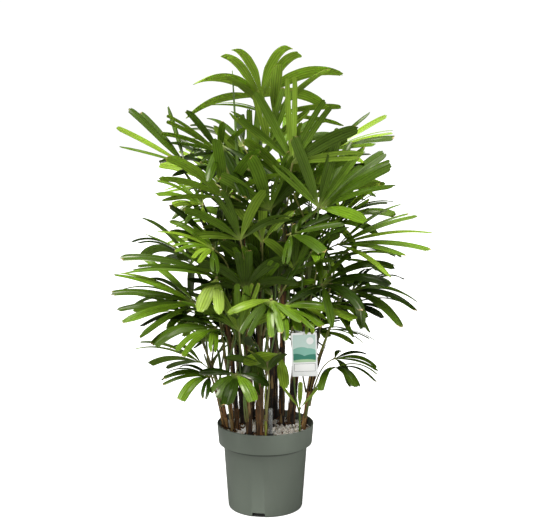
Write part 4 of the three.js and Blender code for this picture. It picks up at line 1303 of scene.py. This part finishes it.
def makeGravelBed():
    g = gravel
    bm = spun([(0, g["foot"]), (g["reach"], g["foot"]), (g["reach"], g["top"] - 2),
               *((ring, g["top"]) for ring in g["rings"]), (0, g["top"])], 64)
    for v in bm.verts:
        if v.co.z > (g["foot"] + 3) * mm:
            v.co.z += g["uneven"] * mm * noise.noise(v.co * 60)
    piece = objectOf("gravelBed", bm, [soilFinish()])
    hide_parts("gravel")
    return finished(piece)


def chipShapes():
    # Angular chips from icospheres with their corners moved and pressed flat
    shapes = []
    for i in range(chips["shapes"]):
        stream = Stream(seeds["chipShapes"] + i)
        bm = bmesh.new()
        bmesh.ops.create_icosphere(bm, subdivisions=1, radius=1)
        points = np.array([v.co[:] for v in bm.verts])
        points *= np.array([[0.75 + 0.5 * stream.draw()] for _ in points])
        points *= (1.25, 0.5 + 0.35 * stream.draw(), 0.45 + 0.35 * stream.draw())
        faces = [[v.index for v in face.verts] for face in bm.faces]
        shapes.append((points, np.array([(a, b, c, c) for a, b, c in faces])))
        bm.free()
    return shapes


def tumbled(stream):
    return np.array(Euler([stream.draw() * 6.28 for _ in range(3)]).to_matrix()).T


def makeGravelChips():
    shapes, heap, stream = chipShapes(), Heap(), Stream(seeds["chips"])
    feet = [(foot, radius) for foot, radius, _, _ in canes.values()]
    feet += [(gauge["place"], gauge["radius"] + 0.5), (suckerFoot[:2], 3)]
    made = 0
    while made < chips["count"]:
        out = (gravel["reach"] - chips["edgeGap"]) * math.sqrt(stream.draw())
        angle = stream.draw() * 2 * math.pi
        x, y = out * math.cos(angle), out * math.sin(angle)
        size = stream.span(*chips["size"])
        turn = tumbled(stream)
        height = stream.span(*chips["height"])
        pick, (points, faces) = stream.draw(), shapes[int(stream.draw() * len(shapes))]
        if any(math.hypot(x - foot[0], y - foot[1]) < radius + size * 0.8 for foot, radius in feet):
            continue
        points = points @ turn * size + np.array([x, y, height])
        if np.hypot(points[:, 0], points[:, 1]).max() > gravel["reach"] + 0.5:
            continue
        heap.add(points, faces, next(i for i, share in enumerate(chips["shares"]) if pick <= share))
        made += 1
    paints = [plainFinish(f"chip{i}", colour, 0.85) for i, colour in enumerate(chips["colours"])]
    return finished(heap.make("gravelChips", paints, sharp=15))


card = {"width": 70, "height": 122, "thick": 1.6, "corner": 3, "centre": (107, -40, 441), "tilt": 2,
        "clearSide": 14, "clearLift": 8, "clearBack": 12}  # leaves keep this far from its front
strap = {"cane": "l", "width": 10, "thick": 1.2, "loop": 14.2, "rise": 2, "inset": 1.2,
         "colour": (0.75, 0.77, 0.75)}


def placedOnCard(bm, depth):
    # Gives depth to a flat shape, drawn about the card's middle, and stands it there
    made = bmesh.ops.extrude_face_region(bm, geom=list(bm.faces))
    front = [g for g in made["geom"] if isinstance(g, bmesh.types.BMVert)]
    bmesh.ops.translate(bm, verts=front, vec=(0, 0, depth))
    bmesh.ops.recalc_face_normals(bm, faces=bm.faces)
    bmesh.ops.scale(bm, verts=bm.verts, vec=(mm, mm, mm))
    rotated(bm, 90, "X")
    rotated(bm, -card["tilt"], "Y")
    bmesh.ops.translate(bm, verts=bm.verts, vec=Vector(card["centre"]) * mm)


def flatBox(bm, x, y, width, height, corner, z=0.0):
    corners = [bm.verts.new((x + sx * width / 2, y + sy * height / 2, z))
               for sx, sy in ((-1, -1), (1, -1), (1, 1), (-1, 1))]
    bm.faces.new(corners)
    if corner:
        bmesh.ops.bevel(bm, geom=corners, offset=corner, segments=4, profile=0.5, affect="VERTICES",
                        material=-1)


def makeCard():
    bm = bmesh.new()
    flatBox(bm, 0, 0, card["width"], card["height"], card["corner"])
    placedOnCard(bm, card["thick"])
    finish = Finish("cardStock", 0.42)
    wash = finish.noise(finish.place(), 26, 4)
    body = finish.ramp(wash, [(0.35, (0.94, 0.95, 0.94)), (0.65, (0.97, 0.98, 0.97))])
    finish.give("Base Color", body)
    piece = objectOf("labelCard", bm, [finish.material])
    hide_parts("label")
    return finished(piece)


cardPrint = {  # colour, then shapes: x, y, width, height and turn on the card
    "field": ((0.6, 0.76, 0.7), [(0, 17, 62, 76, 0)]),
    "hillFar": ((0.24, 0.52, 0.42), [(-12, 4, 56, 34, 8), (16, 2, 54, 30, -12)]),
    "hillNear": ((0.03, 0.22, 0.15), [(-16, -9, 44, 22, -14), (14, -10, 50, 20, 10)]),
    "hillFront": ((0.42, 0.62, 0.36), [(0, -18, 64, 10, 0)]),
    "spot": ((0.97, 0.98, 0.96), [(16, 38, 20, 20, 0)]),
    "frameLine": ((0.16, 0.17, 0.17), [(0, -36, 58, 22, 0)]),
    "panel": ((0.97, 0.97, 0.96), [(0, -36, 56.4, 20.4, 0)]),
}
printLook = {"field": (62, 76, 17),  # the field's width, height and middle, which the hills keep to
             "depth": 0.15, "sunk": 0.05, "layerStep": 0.12, "shapeStep": 0.05}


def printShape(name, x, y, width, height, turn):
    bm = bmesh.new()
    if name in ("field", "frameLine", "panel"):
        flatBox(bm, x, y, width, height, 1.5)
        return bm
    wide, high, middle = printLook["field"]
    bmesh.ops.create_circle(bm, cap_ends=True, segments=48, radius=0.5)
    bmesh.ops.scale(bm, verts=bm.verts, vec=(width, height, 1))
    rotated(bm, turn, "Z")
    bmesh.ops.translate(bm, verts=bm.verts, vec=(x, y, 0))
    for v in bm.verts:
        v.co.x = min(max(v.co.x, -wide / 2), wide / 2)
        v.co.y = min(max(v.co.y, middle - high / 2), middle + high / 2)
    bmesh.ops.remove_doubles(bm, verts=bm.verts, dist=0.01)
    return bm


def makeCardPrint():
    # Rounded hills under a round spot on a pale field, and a blank panel, each a thin raised print
    bm = bmesh.new()
    finishes = []
    for layer, (name, (colour, shapes)) in enumerate(cardPrint.items()):
        finishes.append(plainFinish("print" + name.capitalize(), colour, 0.4))
        for number, shape in enumerate(shapes):
            part = printShape(name, *shape)
            lift = (card["thick"] - printLook["sunk"] + printLook["layerStep"] * layer
                    + printLook["shapeStep"] * number)
            bmesh.ops.translate(part, verts=part.verts, vec=(0, 0, lift))
            placedOnCard(part, printLook["depth"])
            for face in part.faces:
                face.material_index = layer
            mesh = bpy.data.meshes.new("part")
            part.to_mesh(mesh)
            bm.from_mesh(mesh)
            part.free()
            bpy.data.meshes.remove(mesh)
    return finished(objectOf("labelPrint", bm, finishes, smooth=False))


def makeStrap():
    # A band round the cane and across the card's top
    top = card["centre"][2] + card["height"] / 2
    axis = caneAxis(strap["cane"], caneShare(strap["cane"], top))
    front = card["centre"][1] - strap["inset"]
    path = [(axis[0] + strap["loop"] * math.cos(a), axis[1] + strap["loop"] * math.sin(a))
            for a in np.linspace(0, math.pi, 17)]
    path += [(card["centre"][0] + side * strap["width"] / 2, front) for side in (-1, 1)]
    low = top - strap["width"] + strap["rise"]
    bm = bmesh.new()
    corners = [bm.verts.new((x * mm, y * mm, low * mm)) for x, y in path]
    edges = [bm.edges.new((a, b)) for a, b in zip(corners, corners[1:] + corners[:1])]
    made = bmesh.ops.extrude_edge_only(bm, edges=edges)
    raised = [g for g in made["geom"] if isinstance(g, bmesh.types.BMVert)]
    bmesh.ops.translate(bm, verts=raised, vec=(0, 0, strap["width"] * mm))
    bmesh.ops.recalc_face_normals(bm, faces=bm.faces)
    piece = objectOf("labelStrap", bm, [plainFinish("strapPlastic", strap["colour"], 0.4)])
    wall = piece.modifiers.new("wall", "SOLIDIFY")
    wall.thickness = strap["thick"] * mm
    wall.offset = 0
    applyModifiers(piece)
    return finished(piece)


gauge = {"place": (14, -62), "radius": 6.5, "top": 296, "footHeight": 7, "wall": 1.2,
         "flange": 1, "core": 3.4, "coreHeight": 26, "needle": 1.2, "needleShort": 14,
         "black": (0.015, 0.017, 0.018), "clear": (0.92, 0.95, 0.95, 1), "alpha": 0.17}


def makeGauge():
    g = gauge
    foot = gravelTop + touchGap
    shoulder = foot + g["footHeight"]
    place = (g["place"][0] * mm, g["place"][1] * mm, 0)
    flange = g["radius"] + g["flange"]
    coreTop, needleTop = shoulder + g["coreHeight"], g["top"] - g["needleShort"]
    bm = spun([(0, foot), (flange, foot), (flange, shoulder), (g["core"], shoulder + 1),
               (g["core"] - 0.4, coreTop), (g["needle"], coreTop + 8), (g["needle"], needleTop),
               (0, needleTop)], 24)
    bevelRings(bm, 0.5, 2, 30)
    bmesh.ops.translate(bm, verts=bm.verts, vec=place)
    black = objectOf("gaugeFoot", bm, [plainFinish("gaugeBlack", g["black"], 0.4)])
    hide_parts("gauge_foot")
    finished(black)
    outer, inner, top = g["radius"], g["radius"] - g["wall"], g["top"]
    bm = spun([(inner, shoulder + touchGap), (outer, shoulder + touchGap), (outer, top - 2.6),
               (outer - 0.9, top - 0.8), (outer - 2.6, top), (0.01, top), (0.01, top - g["wall"]),
               (inner - 1, top - 3)], 32)
    bmesh.ops.translate(bm, verts=bm.verts, vec=place)
    clear = Finish("gaugeClear", 0.12)
    clear.give("Base Color", g["clear"])
    clear.give("Alpha", g["alpha"])
    tube = objectOf("gaugeTube", bm, [clear.material])
    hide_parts("gauge_tube")
    finished(tube)


def makeFoliage():
    trees = nodeTrees()
    fronds = [f for f in allFronds() if f.node in trees and standFrond(f, trees[f.node])]
    inner = innerFronds()
    for frond in fronds + inner:
        standLeaflets(frond, trees.get(frond.node))
    print(f"{len(fronds)} fronds, {sum(len(f.leaflets) for f in fronds)} leaflets stand")
    heaps = {tone: Heap() for tone in leafTones}
    for frond in fronds + inner:
        addFrondBlades(heaps, frond)
    for tone, heap in heaps.items():
        materials = [leafFinish(f"leaf{tone.capitalize()}Top", tone, False),
                     leafFinish(f"leaf{tone.capitalize()}Under", tone, True)]
        piece = heap.make(f"leaves{tone.capitalize()}", materials)
        nodes = [node for node in trees if min(f.tone for f in fronds if f.node == node) == tone]
        if nodes:
            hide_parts(*nodes)
        finished(piece)
        print(piece.name, len(piece.data.polygons), "faces")
    green, olive, hubs = Heap(), Heap(), Heap()
    for frond in fronds + inner:
        addPetiole(olive if frond.index % 3 == 0 else green, frond)
        addHub(hubs, frond)
    for name, heap in (("Green", green), ("Olive", olive)):
        paint = petioleFinish("petiole" + name, petioleLook[name.lower()])
        finished(heap.make("petioles" + name, [paint]))
    finished(hubs.make("hubs", [plainFinish("hubTan", hubLook["colour"], 0.6)]))


barkLooks = {  # canes, finish, colours of sheath and cane, and heights where the first ends
    "canesDark": ("ehjkps", "barkDark", (0.03, 0.019, 0.011), (0.045, 0.06, 0.014), 430, 600),
    "canesBrown": ("dfgl", "barkBrown", (0.1, 0.054, 0.02), (0.1, 0.13, 0.022), 420, 560),
    "canesTan": ("abcno", "barkTan", (0.34, 0.19, 0.065), (0.17, 0.2, 0.035), 330, 450),
    "caneGreen": ("m", "barkGreen", (0.28, 0.17, 0.045), (0.36, 0.44, 0.06), 235, 265),
}


def makeCanes():
    names = list(canes)
    for pieceName, (members, *look) in barkLooks.items():
        heap = Heap()
        for name in members:
            addCane(heap, name, names.index(name))
        piece = heap.make(pieceName, [barkFinish(*look)], sharp=60)
        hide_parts(*(f"cane_{name}" for name in members))
        finished(piece)
    tips, fibres = Heap(), Heap()
    for number, name in enumerate(names):
        addTip(tips, name, number)
        addFibres(fibres, name, number)
        addFlaps(fibres, name, number)
        addCrumbs(fibres, name, number)
    finished(tips.make("growingTips", [petioleFinish("tipGreen", tipLook["colour"])]))
    paints = [plainFinish(paint, colour, 0.9) for paint, colour in fibrePaints.items()]
    piece = finished(fibres.make("sheathFibres", paints))
    print(piece.name, len(piece.data.polygons), "faces")


setStudio()
print("studio set")
makePot()
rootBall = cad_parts["root_ball"]
rootBall.data.materials.clear()
rootBall.data.materials.append(soilFinish())
makeGravelBed()
makeGravelChips()
print("pot and gravel made")
makeCard()
makeCardPrint()
makeStrap()
makeGauge()
print("label and gauge made")
makeCanes()
print("canes made")
makeFoliage()
print("foliage made")
